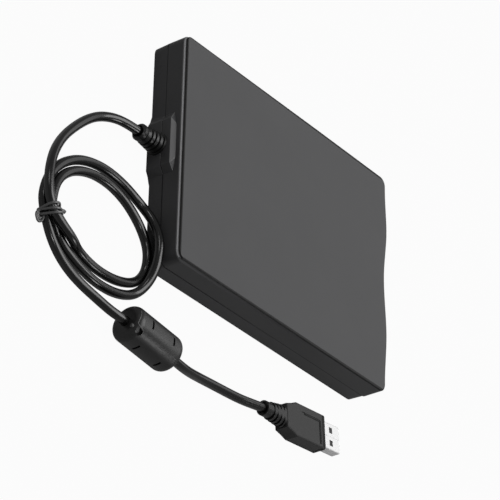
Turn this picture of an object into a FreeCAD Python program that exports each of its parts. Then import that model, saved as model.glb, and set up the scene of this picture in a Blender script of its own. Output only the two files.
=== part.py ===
"""External floppy disk drive with its cord, ferrite clamp and plug, one STEP file per piece.

Frame: +Z up, origin on the table under the middle of the drive.  The disk slot faces -Y,
the cord leaves the rear wall towards +Y.  All lengths are in millimetres.
"""
import FreeCAD, Part
import math
import os

V = FreeCAD.Vector

# ---------------------------------------------------------------- driving dimensions: what goes in
DISK_WIDTH = 90.0
DISK_LENGTH = 94.0
BAY_HEIGHT = 4.3
BAY_SIDE_GAP = 0.6
UNDER_BAY = 4.1
HEAD_ROOM = 1.6

# ---------------------------------------------------------------- driving dimensions: fits
FIT = 0.2
RUNNING = 0.05
SLIP = 0.1

# ---------------------------------------------------------------- driving dimensions: case
FRONT_CREST_Y = -73.5
CORNER_RADIUS = 4.0
FOOT_HEIGHT = 0.6
FOOT_RADIUS = 4.5
FOOT_RECESS = 0.8
FOOT_FROM_SIDE = 15.2
FOOT_FROM_REAR = 19.5
WALL = 2.0
ROOF = 1.6
FLOOR = 2.0
PARTING_RISE = 0.3
RIM_DROP = 1.7
RIM_STEP_DROP = 0.9
RIM_INSET_REAR = 0.6
RIM_INSET_SIDE = 0.5
RIM_END_FROM_FRONT = 53.5
EDGE_BREAK = 0.4
BASE_BREAK = 0.5
BASE_DRAFT = 0.3
SEAM_DEPTH = 0.45
SEAM_HEIGHT = 0.45
SEAM_END_FROM_FRONT = 36.5
LIP_THICKNESS = 0.7
LIP_HEIGHT = 1.2
WAVE_CREST_X = 24.5
WAVE_DIP_X = 5.0
WAVE_DIP = 1.9
WAVE_SHOULDER = 1.2
LOWER_SETBACK = 1.9
MOUTH_MARGIN = 1.0
CABLE_BOSS_PROUD = 2.0
CABLE_BOSS_HALF = 14.0
CABLE_BOSS_FACE_DROP = 6.4
CABLE_BOSS_TOP_DROP = 4.6

# ---------------------------------------------------------------- driving dimensions: frame
CHASSIS_THICKNESS = 1.0
CHASSIS_WALL = 0.8
CHASSIS_GAP = 2.0
SHIELD_THICKNESS = 0.6
STANDOFF = 0.4
SCREW_RADIUS = 1.1
SCREW_HEAD_RADIUS = 2.1
SCREW_HEAD = 0.9
REAR_SCREW_INSET = (4.8, 5.8)
FRONT_SCREW_X = 30.0
FRONT_SCREW_INSET = 15.7

# ---------------------------------------------------------------- driving dimensions: front
BEZEL_SETBACK = 3.8
BEZEL_THICKNESS = 2.0
SLOT_MARGIN = 0.6
DOOR_THICKNESS = 1.0
DOOR_PIN_RADIUS = 0.6
BUTTON_INSET = 12.2
BUTTON_WIDTH = 10.0
BUTTON_HEIGHT = 3.0
BUTTON_PROUD = 1.3
BUTTON_LENGTH = 8.0
LENS_INSET = 10.2
LENS_WIDTH = 4.0
LENS_HEIGHT = 1.8

# ---------------------------------------------------------------- driving dimensions: mechanism
EJECT_TRAVEL = 5.0
CARRIER_THICKNESS = 0.6
CARRIER_RAIL = 1.0
CARRIER_LIP = 4.6
CARRIER_PIN_RADIUS = 0.9
CARRIER_PIN_INSET = (10.5, 18.0)
SLIDER_THICKNESS = 0.8
STOP_THICKNESS = 0.8
SPRING_RADIUS = 1.6
SPRING_WIRE = 0.3
LEVER_PIVOT_INSET = (5.6, 8.0)
LEVER_REACH = 24.0
LEVER_REST_DEG = -140.0
LEVER_SWING_DEG = 38.0
LEVER_FINGER_RADIUS = 1.2
SPINDLE_FROM_DISK_REAR = 45.0
SPINDLE_RADIUS = 1.5
BEARING_RADIUS = 3.5
HUB_RADIUS = 12.5
ROTOR_RADIUS = 19.4
ROTOR_WALL = 0.6
MAGNET_THICKNESS = 1.6
STATOR_COILS = 9
STATOR_COIL_RADIUS = 3.0
STATOR_GAP = 1.2
HEAD_TRACK0_RADIUS = 39.5
HEAD_TRAVEL = 14.8
HEAD_SIZE = 4.4
ROD_RADIUS = 1.5
ROD_X = 10.0
ROD_RISE = 3.2
CARRIAGE_FROM_HEAD = 23.5
CARRIAGE_LENGTH = 10.0
CARRIAGE_FLANK = 3.0
ARM_PIVOT_RISE = 2.5
ARM_THICKNESS = 0.6
SCREW_OFFSET = 9.0
SCREW_PITCH = 3.0
JOURNAL_RADIUS = 1.0
GROOVE_RADIUS = 0.6
MOTOR_RADIUS = 5.2
MOTOR_LENGTH = 9.4
MOTOR_GAP = 2.6

# ---------------------------------------------------------------- driving dimensions: board
BOARD_THICKNESS = 0.8
BOARD_WIDTH = 25.0
BOARD_INSET = (7.9, 3.4)

# ---------------------------------------------------------------- driving dimensions: cord
CORD_RADIUS = 2.0
GLAND_X = 2.0
GLAND_Z = 6.4
GLAND_NECK_RADIUS = 4.2
GLAND_BASE_RADIUS = 5.0
GLAND_TIP_RADIUS = 3.4
GLAND_LENGTH = 12.5
GLAND_GROOVES = 4
COIL_CENTRE = (-47.0, 104.4)
COIL_OUTER = (28.5, 32.4)
COIL_HOLE_CENTRE = (-47.2, 101.4)
COIL_HOLE = (18.0, 25.0)
COIL_LOW_TOP = 4.3
COIL_HIGH_TOP = 11.0
TIE_POINT = (-57.5, 133.0)
TIE_DIRECTION = (-0.86, -0.51)
TIE_WIRE = 0.6
TIE_WRAPS = 3
TIE_HALF = 4.9
TIE_TOP = 9.4
FERRITE_CENTRE = (-89.0, 76.2, 7.95)
FERRITE_AXIS = (-0.1196, -0.9928, 0.0)
FERRITE_RADIUS = 7.95
FERRITE_LENGTH = 28.4
FERRITE_SPLIT_DEG = 47.0
FERRITE_WALL = 1.3
KNUCKLE_RADIUS = 0.9
KNUCKLE_SPLIT = 4.0
KNUCKLE_END = 8.5
PLUG_FRONT = (-80.2, -43.6)
PLUG_AXIS_DEG = 5.5
PLUG_WIDTH = 15.4
PLUG_THICKNESS = 7.0
PLUG_BODY_LENGTH = 19.5
PLUG_SHOULDER = 6.8
PLUG_RELIEF = 12.6
PLUG_COLLAR = 3.6
PLUG_RELIEF_RADIUS = 3.3
SHELL_WIDTH = 12.0
SHELL_HEIGHT = 4.5
SHELL_LENGTH = 12.0
SHELL_WALL = 0.3
SHELL_INNER_RADIUS = 0.3

# Centre-line of the cord, millimetres: from the gland to the tie, and from the tie to the plug.
LEAD_ROUTE = (
    (2.0, 84.8, 6.4),
    (2.3, 91.0, 6.1),
    (2.6, 98.0, 4.5),
    (0.6, 105.2, 2.7),
    (-4.0, 112.0, 2.1),
    (-11.4, 119.6, 2.1),
    (-20.3, 127.2, 2.7),
    (-30.6, 133.6, 4.4),
    (-40.4, 137.2, 6.0),
    (-49.6, 137.4, 6.5),
    (-57.0, 134.4, 6.4),
)
TAIL_ROUTE = (
    (-60.8, 132.4, 2.5),
    (-66.6, 129.4, 2.1),
    (-72.0, 124.4, 2.1),
    (-76.1, 117.6, 2.1),
    (-79.1, 110.2, 2.6),
    (-82.3, 103.4, 4.4),
    (-85.5, 97.8, 6.5),
    (-87.0, 92.8, 7.95),
    (-91.0, 59.6, 7.95),
    (-91.0, 53.3, 6.9),
    (-89.8, 45.8, 5.0),
    (-88.0, 37.4, 3.2),
    (-86.6, 27.6, 2.2),
    (-85.9, 17.2, 2.1),
    (-85.4, 9.0, 2.3),
    (-84.8, 2.2, 3.0),
    (-83.92, -4.8, 3.5),
)

# ---------------------------------------------------------------- derived places: across
RAIL_INNER = DISK_WIDTH / 2 + BAY_SIDE_GAP
RAIL_OUTER = RAIL_INNER + CARRIER_RAIL
SLIDER_INNER = RAIL_OUTER + 3 * FIT
SLIDER_OUTER = SLIDER_INNER + SLIDER_THICKNESS
CHASSIS_INNER = SLIDER_OUTER + 2 * FIT
CHASSIS_HALF_WIDTH = CHASSIS_INNER + CHASSIS_WALL
INNER_HALF = CHASSIS_HALF_WIDTH + CHASSIS_GAP
HALF_WIDTH = INNER_HALF + WALL
CASE_WIDTH = 2 * HALF_WIDTH
SLOT_HALF_WIDTH = RAIL_INNER + SLOT_MARGIN
MOUTH_HALF_WIDTH = SLOT_HALF_WIDTH + MOUTH_MARGIN + FIT
SLIDER_FOOT_X = RAIL_OUTER - CARRIER_LIP
BUTTON_X = SLOT_HALF_WIDTH - BUTTON_INSET
LENS_X = LENS_INSET - SLOT_HALF_WIDTH
CARRIAGE_HALF_WIDTH = ROD_X + CARRIAGE_FLANK
SCREW_AXIS_X = ROD_X + SCREW_OFFSET
FOOT_X = HALF_WIDTH - FOOT_FROM_SIDE

# ---------------------------------------------------------------- derived places: upwards
BASE_Z = FOOT_HEIGHT
FLOOR_Z = BASE_Z + FLOOR
CHASSIS_Z = FLOOR_Z + STANDOFF
DECK_Z = CHASSIS_Z + CHASSIS_THICKNESS
BAY_LOW_Z = DECK_Z + UNDER_BAY
BAY_HIGH_Z = BAY_LOW_Z + BAY_HEIGHT
CARRIER_LIP_Z = BAY_LOW_Z - CARRIER_THICKNESS
CARRIER_ROOF_Z = BAY_HIGH_Z + CARRIER_THICKNESS
LEVER_Z = CARRIER_ROOF_Z + SLIP
CHASSIS_WALL_TOP_Z = LEVER_Z + CARRIER_THICKNESS + SLIP + 2 * FIT
CEILING_Z = CHASSIS_WALL_TOP_Z + SHIELD_THICKNESS + HEAD_ROOM
CASE_HEIGHT = CEILING_Z + ROOF
RIM_Z = CASE_HEIGHT - RIM_DROP
RIM_STEP_Z = CASE_HEIGHT - RIM_STEP_DROP
PARTING_Z = BAY_LOW_Z + PARTING_RISE
MOUTH_LOW_Z = CHASSIS_Z + 2 * FIT
MOUTH_HIGH_Z = CEILING_Z - MOUTH_MARGIN
CABLE_BOSS_FACE_Z = CASE_HEIGHT - CABLE_BOSS_FACE_DROP
CABLE_BOSS_TOP_Z = CASE_HEIGHT - CABLE_BOSS_TOP_DROP
SLOT_LOW_Z = BAY_LOW_Z - SLIP
SLOT_HIGH_Z = BAY_HIGH_Z
DOOR_PIN_Z = SLOT_HIGH_Z + 2 * FIT
SLIDER_Z = DECK_Z + SLIP
LOAD_DROP = CARRIER_LIP_Z - SLIDER_Z - 2 * SLIDER_THICKNESS
CARRIER_PIN_Z = BAY_LOW_Z + BAY_HEIGHT / 2 + SLIP + RUNNING
PCB_TOP_Z = DECK_Z + BOARD_THICKNESS
HUB_Z = PCB_TOP_Z + 1.4
BOARD_Z = DECK_Z + STANDOFF
BOARD_TOP_Z = BOARD_Z + BOARD_THICKNESS
ROD_Z = DECK_Z + ROD_RISE
CARRIAGE_TOP_Z = ROD_Z + ROD_RADIUS + 0.9
LOWER_ARM_Z = PCB_TOP_Z + 2 * FIT
LOWER_ARM = 0.9
ARM_PIVOT_Z = BAY_LOW_Z + ARM_PIVOT_RISE
SCREW_AXIS_Z = DECK_Z + MOTOR_RADIUS + SLIP
SPRING_X = SLIDER_INNER - SPRING_RADIUS - SPRING_WIRE - SLIP
SPRING_Z = SLIDER_Z + SPRING_RADIUS + SPRING_WIRE + FIT
REAR_BOSS_TOP_Z = FLOOR_Z + 3.4
REAR_SEAT_Z = FLOOR_Z + SLIDER_THICKNESS

# ---------------------------------------------------------------- derived places: along
LOWER_FRONT_Y = FRONT_CREST_Y + LOWER_SETBACK
RIM_END_Y = FRONT_CREST_Y + RIM_END_FROM_FRONT
SEAM_END_Y = FRONT_CREST_Y + SEAM_END_FROM_FRONT
BEZEL_FACE_Y = FRONT_CREST_Y + BEZEL_SETBACK
BEZEL_REAR_Y = BEZEL_FACE_Y + BEZEL_THICKNESS
INNER_FRONT_Y = BEZEL_REAR_Y - 0.9
DOOR_PIN_Y = BEZEL_REAR_Y + 2 * FIT + DOOR_THICKNESS / 2
DISK_REAR_Y = BEZEL_REAR_Y + 1.7 + DISK_LENGTH
DOOR_REACH = DOOR_PIN_Z - SLOT_LOW_Z + FIT + DOOR_THICKNESS / 2
CARRIER_FRONT_Y = DOOR_PIN_Y + DOOR_REACH + 4 * FIT
CARRIER_REAR_Y = DISK_REAR_Y + FIT + STOP_THICKNESS
CARRIER_PIN_Y = (CARRIER_FRONT_Y + CARRIER_PIN_INSET[0], DISK_REAR_Y - CARRIER_PIN_INSET[1])
SLIDER_REAR_Y = CARRIER_REAR_Y + EJECT_TRAVEL + SLIDER_THICKNESS + 2 * FIT
LEVER_PIVOT = (RAIL_INNER - LEVER_PIVOT_INSET[0], DISK_REAR_Y - LEVER_PIVOT_INSET[1])
SPINDLE_Y = DISK_REAR_Y - SPINDLE_FROM_DISK_REAR
HEAD_Y = SPINDLE_Y + HEAD_TRACK0_RADIUS
MAGNET_INNER = ROTOR_RADIUS - ROTOR_WALL - MAGNET_THICKNESS
STATOR_RING_RADIUS = MAGNET_INNER - STATOR_GAP - STATOR_COIL_RADIUS
RAIL_FRONT_Y = CARRIER_REAR_Y + FIT
CLAMP_LENGTH = 1.8
CARRIAGE_FRONT_Y = HEAD_Y + CARRIAGE_FROM_HEAD
CARRIAGE_REAR_Y = CARRIAGE_FRONT_Y + CARRIAGE_LENGTH
CHASSIS_WALL_REAR_Y = CARRIAGE_FRONT_Y
RAIL_REAR_Y = CARRIAGE_REAR_Y + CLAMP_LENGTH + 3.0
ARM_PIVOT_Y = CARRIAGE_FRONT_Y + 4.0
ARM_LIFT_DEG = math.degrees(math.asin((BAY_HEIGHT + SLIP + FIT) / (ARM_PIVOT_Y - HEAD_Y)))
FOLLOWER_Y = ARM_PIVOT_Y
GROOVE_CENTRE = ROD_RADIUS + SLIP
MOTOR_Y = CARRIAGE_REAR_Y + 1.5
INNER_REAR_Y = MOTOR_Y + MOTOR_LENGTH + MOTOR_GAP
REAR_Y = INNER_REAR_Y + WALL
CHASSIS_REAR_Y = INNER_REAR_Y - 2.4
BOARD_X = (BOARD_INSET[0] - CHASSIS_INNER, BOARD_INSET[0] - CHASSIS_INNER + BOARD_WIDTH)
BOARD_Y = (CARRIER_REAR_Y + 4.0, INNER_REAR_Y - BOARD_INSET[1])
PIGTAIL_Y = INNER_REAR_Y - 5.6
PIGTAIL_RADIUS = 1.1
REAR_SCREW_X = INNER_HALF - REAR_SCREW_INSET[0]
REAR_SCREW_Y = INNER_REAR_Y - REAR_SCREW_INSET[1]
FRONT_SCREW_Y = BEZEL_REAR_Y + FRONT_SCREW_INSET
FOOT_FRONT_Y = FRONT_CREST_Y + FOOT_FROM_REAR + CABLE_BOSS_PROUD
FOOT_REAR_Y = REAR_Y - FOOT_FROM_REAR
SHIELD_FRONT_Y = CARRIER_FRONT_Y
GLAND_Y = REAR_Y + CABLE_BOSS_PROUD


# ---------------------------------------------------------------- helpers
def box(x0, x1, y0, y1, z0, z1):
    """Box between two corners."""
    return Part.makeBox(x1 - x0, y1 - y0, z1 - z0, V(x0, y0, z0))


def rod(radius, start, axis, length):
    """Cylinder from a start point along an axis."""
    return Part.makeCylinder(radius, length, V(*start), V(*axis))


def ring(outer, inner, start, axis, length):
    """Tube with a bore."""
    return rod(outer, start, axis, length).cut(rod(inner, start, axis, length))


def fuse(shapes):
    """One solid from touching or overlapping solids."""
    first, rest = shapes[0], list(shapes[1:])
    return first.multiFuse(rest).removeSplitter() if rest else first


def cut(shape, tools):
    """Shape less each of the tools."""
    for tool in tools:
        shape = shape.cut(tool)
    return shape


def mirrored(shape):
    """The shape's twin on the other side of the drive."""
    return shape.mirror(V(0, 0, 0), V(1, 0, 0))


def pair(shape):
    """A shape and its twin."""
    return [shape, mirrored(shape)]


def prism(points, direction):
    """Solid swept from a closed polygon along a direction."""
    corners = [V(*p) for p in points]
    face = Part.Face(Part.makePolygon(corners + corners[:1]))
    return face.extrude(V(*direction))


def plate(x0, x1, y0, y1, z0, z1, radius):
    """Plate with rounded corners in plan."""
    solid = box(x0, x1, y0, y1, z0, z1)
    upright = [e for e in solid.Edges if abs(e.tangentAt(e.FirstParameter).z) > 0.9]
    return solid.makeFillet(radius, upright)


def capsule(start, end, radius, z0, z1):
    """Slot-shaped plate between two centres in plan."""
    run = V(end[0] - start[0], end[1] - start[1], 0)
    side = V(-run.y, run.x, 0).normalize() * radius
    a, b = V(start[0], start[1], z0), V(end[0], end[1], z0)
    corners = [a + side, a - side, b - side, b + side]
    web = Part.Face(Part.makePolygon(corners + corners[:1])).extrude(V(0, 0, z1 - z0))
    ends = [rod(radius, tuple(c), (0, 0, 1), z1 - z0) for c in (a, b)]
    return fuse([web] + ends)


def ribbon(path, thickness, x0, x1):
    """Flat strip whose (y, z) path is its lower face."""
    lower = [(x0, y, z) for y, z in path]
    upper = [(x0, y, z + thickness) for y, z in reversed(path)]
    return prism(lower + upper, (x1 - x0, 0, 0))


def coil_spring(start, axis, radius, wire, length, turns):
    """Helical spring along an axis."""
    helix = Part.makeHelix(length / turns, length, radius)
    profile = Part.Wire(Part.makeCircle(wire, V(radius, 0, 0), V(0, 1, 0)))
    spring = Part.Wire(helix).makePipeShell([profile], True, True)
    turn = FreeCAD.Rotation(V(0, 0, 1), V(*axis))
    spring.Placement = FreeCAD.Placement(V(*start), turn)
    return spring


def cord_tube(route, radius):
    """Tube of straight runs joined by tangent arcs; returns the solid, its length and its radii."""
    points = [V(*p) for p in route]
    pieces, radii, length = [], [], 0.0
    here = points[0]
    for before, corner, after in zip(points, points[1:], points[2:]):
        inward, outward = corner - before, after - corner
        turn = inward.getAngle(outward)
        reach = 0.45 * min(inward.Length, outward.Length)
        bend = reach / math.tan(turn / 2)
        u, w = V(inward).normalize(), V(outward).normalize()
        start = corner - u * reach
        axis = u.cross(w).normalize()
        centre = start + axis.cross(u) * bend
        pieces.append(Part.makeCylinder(radius, (start - here).Length, here, u))
        disc = Part.Face(Part.Wire(Part.makeCircle(radius, start, u)))
        pieces.append(disc.revolve(centre, axis, math.degrees(turn)))
        length += (start - here).Length + bend * turn
        radii.append(bend)
        here = corner + w * reach
    last = points[-1] - here
    pieces.append(Part.makeCylinder(radius, last.Length, here, last))
    length += last.Length
    return fuse(pieces), length, radii


# ---------------------------------------------------------------- case outline
def case_outline(z, side_rear, side_front, rear, front_y, wave, taper_y):
    """Closed plan outline at a height; insets are inward, the sides taper in behind taper_y."""
    xr, xf = HALF_WIDTH - side_rear, HALF_WIDTH - side_front
    yb = REAR_Y - rear
    rr, rf = CORNER_RADIUS - rear, CORNER_RADIUS - side_front
    half = math.sqrt(0.5)

    def corner(cx, cy, radius, sx, sy, clockwise_first):
        ends = [V(cx + sx * radius, cy, z), V(cx, cy + sy * radius, z)]
        mid = V(cx + sx * radius * half, cy + sy * radius * half, z)
        first, last = ends if clockwise_first else reversed(ends)
        return Part.Arc(first, mid, last).toShape()

    shoulder = front_y + wave * WAVE_SHOULDER
    wave_points = [
        V(-xf + rf, shoulder, z),
        V(-WAVE_CREST_X, front_y, z),
        V(WAVE_DIP_X, front_y + wave * WAVE_DIP, z),
        V(WAVE_CREST_X, front_y, z),
        V(xf - rf, shoulder, z),
    ]
    spline = Part.BSplineCurve()
    spline.interpolate(Points=wave_points, InitialTangent=V(1, 0, 0), FinalTangent=V(1, 0, 0))
    edges = [
        spline.toShape(),
        corner(xf - rf, shoulder + rf, rf, 1, -1, False),
        Part.makeLine(V(xf, shoulder + rf, z), V(xf, taper_y, z)),
        Part.makeLine(V(xf, taper_y, z), V(xr, yb - rr, z)),
        corner(xr - rr, yb - rr, rr, 1, 1, True),
        Part.makeLine(V(xr - rr, yb, z), V(-xr + rr, yb, z)),
        corner(-xr + rr, yb - rr, rr, -1, 1, False),
        Part.makeLine(V(-xr, yb - rr, z), V(-xf, taper_y, z)),
        Part.makeLine(V(-xf, taper_y, z), V(-xf, shoulder + rf, z)),
        corner(-xf + rf, shoulder + rf, rf, -1, -1, True),
    ]
    return Part.Wire(edges)


def cable_boss():
    """Low bulge of the rear wall round the cord, curved in plan and sloped on top."""
    sagitta = CABLE_BOSS_PROUD
    radius = (CABLE_BOSS_HALF ** 2 + sagitta ** 2) / (2 * sagitta)
    drum = rod(radius, (GLAND_X, GLAND_Y - radius, BASE_Z), (0, 0, 1), CASE_HEIGHT)
    back = REAR_Y - WALL / 2
    side = [
        (GLAND_X - 2 * CABLE_BOSS_HALF, back, BASE_Z),
        (GLAND_X - 2 * CABLE_BOSS_HALF, GLAND_Y - BASE_BREAK, BASE_Z),
        (GLAND_X - 2 * CABLE_BOSS_HALF, GLAND_Y, BASE_Z + BASE_BREAK),
        (GLAND_X - 2 * CABLE_BOSS_HALF, GLAND_Y, CABLE_BOSS_FACE_Z),
        (GLAND_X - 2 * CABLE_BOSS_HALF, REAR_Y, CABLE_BOSS_TOP_Z),
        (GLAND_X - 2 * CABLE_BOSS_HALF, back, CABLE_BOSS_TOP_Z),
    ]
    return prism(side, (4 * CABLE_BOSS_HALF, 0, 0)).common(drum)


def case_mouth():
    """Front opening of both case halves, round the bezel."""
    return box(-MOUTH_HALF_WIDTH, MOUTH_HALF_WIDTH, FRONT_CREST_Y - 1, BEZEL_REAR_Y + 1,
               MOUTH_LOW_Z, MOUTH_HIGH_Z)


def gland_hole():
    """Hole for the neck of the cord's gland, on the parting line."""
    return rod(GLAND_NECK_RADIUS, (GLAND_X, INNER_REAR_Y - 1, GLAND_Z), (0, 1, 0),
               WALL + CABLE_BOSS_PROUD + 2)


def inner_block(inset, z0, z1):
    """Space inside the case walls, rounded in plan."""
    return plate(-INNER_HALF - inset, INNER_HALF + inset, INNER_FRONT_Y - inset,
                 INNER_REAR_Y + inset, z0, z1, CORNER_RADIUS - WALL + inset)


def rear_screw_places():
    """Plan places of the two screws at the rear corners."""
    return [(REAR_SCREW_X, REAR_SCREW_Y), (-REAR_SCREW_X, REAR_SCREW_Y)]


def front_screw_places():
    """Plan places of the two screws under the front."""
    return [(FRONT_SCREW_X, FRONT_SCREW_Y), (-FRONT_SCREW_X, FRONT_SCREW_Y)]


# ---------------------------------------------------------------- case
def top_cover():
    """Upper shell with a stepped rim that runs out along the sides, and a waved front edge."""
    y, taper = FRONT_CREST_Y, RIM_END_Y
    rim = (RIM_INSET_SIDE, 0.0, RIM_INSET_REAR)
    broken = tuple(inset + EDGE_BREAK for inset in rim)
    wires = [
        case_outline(PARTING_Z, 0, 0, 0, y, 1, taper),
        case_outline(RIM_Z, 0, 0, 0, y, 1, taper),
        case_outline(RIM_STEP_Z, *rim, y, 1, taper),
        case_outline(CASE_HEIGHT - EDGE_BREAK, *rim, y, 1, taper),
        case_outline(CASE_HEIGHT, *broken, y + EDGE_BREAK, 1, taper),
    ]
    shell = Part.makeLoft(wires, True, True)
    boss = cable_boss().common(box(-HALF_WIDTH, HALF_WIDTH, 0, 2 * REAR_Y, PARTING_Z, CASE_HEIGHT))
    shell = shell.fuse(boss)
    cavity = inner_block(0, PARTING_Z - 1, CEILING_Z)
    rebate = inner_block(LIP_THICKNESS + SLIP, PARTING_Z - 1, PARTING_Z + LIP_HEIGHT + FIT)
    shell = cut(shell, [cavity, rebate, case_mouth(), gland_hole()])
    ribs = [box(-INNER_HALF, INNER_HALF, SPINDLE_Y - dy - 0.5, SPINDLE_Y - dy + 0.5, CEILING_Z - 2 * FIT,
                CEILING_Z) for dy in (28.0, 13.0, -2.0)]
    posts = []
    for x, py in rear_screw_places():
        post = rod(3.0, (x, py, REAR_BOSS_TOP_Z + SLIP), (0, 0, 1), CEILING_Z - REAR_BOSS_TOP_Z)
        posts.append(post.cut(rod(SCREW_RADIUS, (x, py, 0), (0, 0, 1), CEILING_Z - 3)))
    return fuse([shell] + ribs + posts)


def bottom_case():
    """Lower shell with drafted walls, an upstanding lip, seats for the chassis and screw bosses."""
    y, taper = LOWER_FRONT_Y, RIM_END_Y
    low = BASE_DRAFT + BASE_BREAK
    wires = [
        case_outline(BASE_Z, low, low, low, y + low, 0, taper),
        case_outline(BASE_Z + BASE_BREAK, BASE_DRAFT, BASE_DRAFT, BASE_DRAFT, y + BASE_DRAFT, 0, taper),
        case_outline(PARTING_Z, 0, 0, 0, y, 0, taper),
    ]
    shell = Part.makeLoft(wires, True, True)
    boss = cable_boss().common(box(-HALF_WIDTH, HALF_WIDTH, 0, 2 * REAR_Y, 0, PARTING_Z))
    lip = inner_block(LIP_THICKNESS, PARTING_Z, PARTING_Z + LIP_HEIGHT)
    shell = shell.multiFuse([boss, lip])
    shell = cut(shell, [inner_block(0, FLOOR_Z, PARTING_Z + 2 * LIP_HEIGHT), case_mouth(), gland_hole()])
    shell = shell.cut(seam_groove())
    seat = CHASSIS_HALF_WIDTH - 9.2
    seats = [box(-seat, seat, SPINDLE_Y + dy - 1, SPINDLE_Y + dy + 1, FLOOR_Z, CHASSIS_Z)
             for dy in (-17.0, 25.0, 61.0)]
    columns = [rod(3.4, (x, py, FLOOR_Z), (0, 0, 1), REAR_BOSS_TOP_Z - FLOOR_Z)
               for x, py in rear_screw_places()]
    pads = [rod(3.4, (x, py, FLOOR_Z), (0, 0, 1), STANDOFF) for x, py in front_screw_places()]
    shell = fuse([shell] + seats + columns + pads)
    tools = []
    for x, py in rear_screw_places():
        tools.append(rod(SCREW_HEAD_RADIUS + FIT, (x, py, 0), (0, 0, 1), REAR_SEAT_Z))
        tools.append(rod(SCREW_RADIUS + FIT, (x, py, 0), (0, 0, 1), CASE_HEIGHT / 2))
    for x, py in front_screw_places():
        tools.append(rod(SCREW_HEAD_RADIUS + FIT, (x, py, 0), (0, 0, 1), BASE_Z + SCREW_HEAD))
        tools.append(rod(SCREW_RADIUS + FIT, (x, py, 0), (0, 0, 1), CHASSIS_Z))
    for x, py in foot_places():
        tools.append(rod(FOOT_RADIUS + FIT, (x, py, 0), (0, 0, 1), BASE_Z + FOOT_RECESS))
    return cut(shell, tools)


def seam_groove():
    """Shadow line under the parting face: along the sides it runs out, behind it stops at the boss."""
    z = PARTING_Z - SEAM_HEIGHT
    outer = box(-CASE_WIDTH, CASE_WIDTH, SEAM_END_Y, REAR_Y + WALL, z, PARTING_Z)
    depth = (SEAM_DEPTH, -SLIP, SEAM_DEPTH)
    inner = Part.Face(case_outline(z, *depth, LOWER_FRONT_Y - SLIP, 0, SEAM_END_Y))
    band = outer.cut(inner.extrude(V(0, 0, SEAM_HEIGHT)))
    kept = box(GLAND_X - CABLE_BOSS_HALF, HALF_WIDTH - CORNER_RADIUS, REAR_Y - WALL,
               REAR_Y + 2 * WALL, 0, CASE_HEIGHT)
    return band.cut(kept)


def foot_places():
    """Plan places of the four feet."""
    return [(side * FOOT_X, y) for side in (-1, 1) for y in (FOOT_FRONT_Y, FOOT_REAR_Y)]


def rubber_feet():
    """Four soft discs with rounded undersides, seated in shallow recesses."""
    feet = []
    for x, y in foot_places():
        foot = rod(FOOT_RADIUS, (x, y, 0), (0, 0, 1), BASE_Z + FOOT_RECESS)
        rim = [e for e in foot.Edges if e.BoundBox.ZMax < 0.01]
        feet.append(foot.makeFillet(0.4, rim))
    return feet


def screw(x, y, head_z, head, tip_z):
    """Pan-head screw standing head down with a crossed recess."""
    solid = fuse([
        rod(SCREW_HEAD_RADIUS, (x, y, head_z - head), (0, 0, 1), head),
        rod(SCREW_RADIUS, (x, y, head_z), (0, 0, 1), tip_z - head_z),
    ])
    arm, half = SCREW_HEAD_RADIUS * 0.6, 0.25
    deep = head_z - head / 2
    slots = [box(x - arm, x + arm, y - half, y + half, 0, deep),
             box(x - half, x + half, y - arm, y + arm, 0, deep)]
    return cut(solid, slots)


def case_screws():
    """Two long screws into the cover's posts and two short ones into the chassis."""
    rear = [screw(x, y, REAR_SEAT_Z, 1.4, PARTING_Z + 4) for x, y in rear_screw_places()]
    front = [screw(x, y, BASE_Z + SCREW_HEAD, SCREW_HEAD - SLIP, DECK_Z) for x, y in front_screw_places()]
    return rear + front


# ---------------------------------------------------------------- front
def front_bezel():
    """Slotted front plate with a thumb scoop, hinge ears, button window and light shelf."""
    half = MOUTH_HALF_WIDTH - FIT
    solid = plate_xz(-half, half, BEZEL_FACE_Y, BEZEL_REAR_Y, MOUTH_LOW_Z + FIT, MOUTH_HIGH_Z - FIT, 1.0)
    scoop_radius = 30.0
    scoop = Part.makeSphere(scoop_radius, V(WAVE_DIP_X, BEZEL_FACE_Y - scoop_radius + 1.1,
                                            (SLOT_LOW_Z + SLOT_HIGH_Z) / 2))
    slot = box(-SLOT_HALF_WIDTH, SLOT_HALF_WIDTH, BEZEL_FACE_Y - 1, BEZEL_REAR_Y + 1,
               SLOT_LOW_Z, SLOT_HIGH_Z)
    flare = slot_flare()
    solid = cut(solid, [scoop, slot, flare, button_window(), lens_window()])
    ear = fuse([
        box(SLOT_HALF_WIDTH + 0.5, CHASSIS_INNER - FIT, BEZEL_REAR_Y, DOOR_PIN_Y + 1.4, DOOR_PIN_Z - 1.6,
            DOOR_PIN_Z + 1.4)])
    bore = rod(DOOR_PIN_RADIUS + RUNNING, (SLOT_HALF_WIDTH, DOOR_PIN_Y, DOOR_PIN_Z), (1, 0, 0), 4)
    shelf_z = lens_z() - LENS_HEIGHT / 2
    shelf = box(LENS_X - 3, LENS_X + 3, BEZEL_REAR_Y, BEZEL_REAR_Y + 4, shelf_z - 0.25, shelf_z)
    return fuse([solid, shelf] + pair(ear.cut(bore)))


def plate_xz(x0, x1, y0, y1, z0, z1, radius):
    """Upright plate with rounded corners as seen from the front."""
    solid = box(x0, x1, y0, y1, z0, z1)
    deep = [e for e in solid.Edges if abs(e.tangentAt(e.FirstParameter).y) > 0.9]
    return solid.makeFillet(radius, deep)


def slot_flare():
    """Bevel round the disk slot's mouth."""
    grow = 0.6
    outer = Part.makePolygon([V(x, BEZEL_FACE_Y, z) for x, z in slot_corners(grow)])
    inner = Part.makePolygon([V(x, BEZEL_FACE_Y + grow, z) for x, z in slot_corners(0)])
    return Part.makeLoft([outer, inner], True, True)


def slot_corners(grow):
    """Closed rectangle round the slot."""
    x, low, high = SLOT_HALF_WIDTH + grow, SLOT_LOW_Z - grow, SLOT_HIGH_Z + grow
    return [(-x, low), (x, low), (x, high), (-x, high), (-x, low)]


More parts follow.
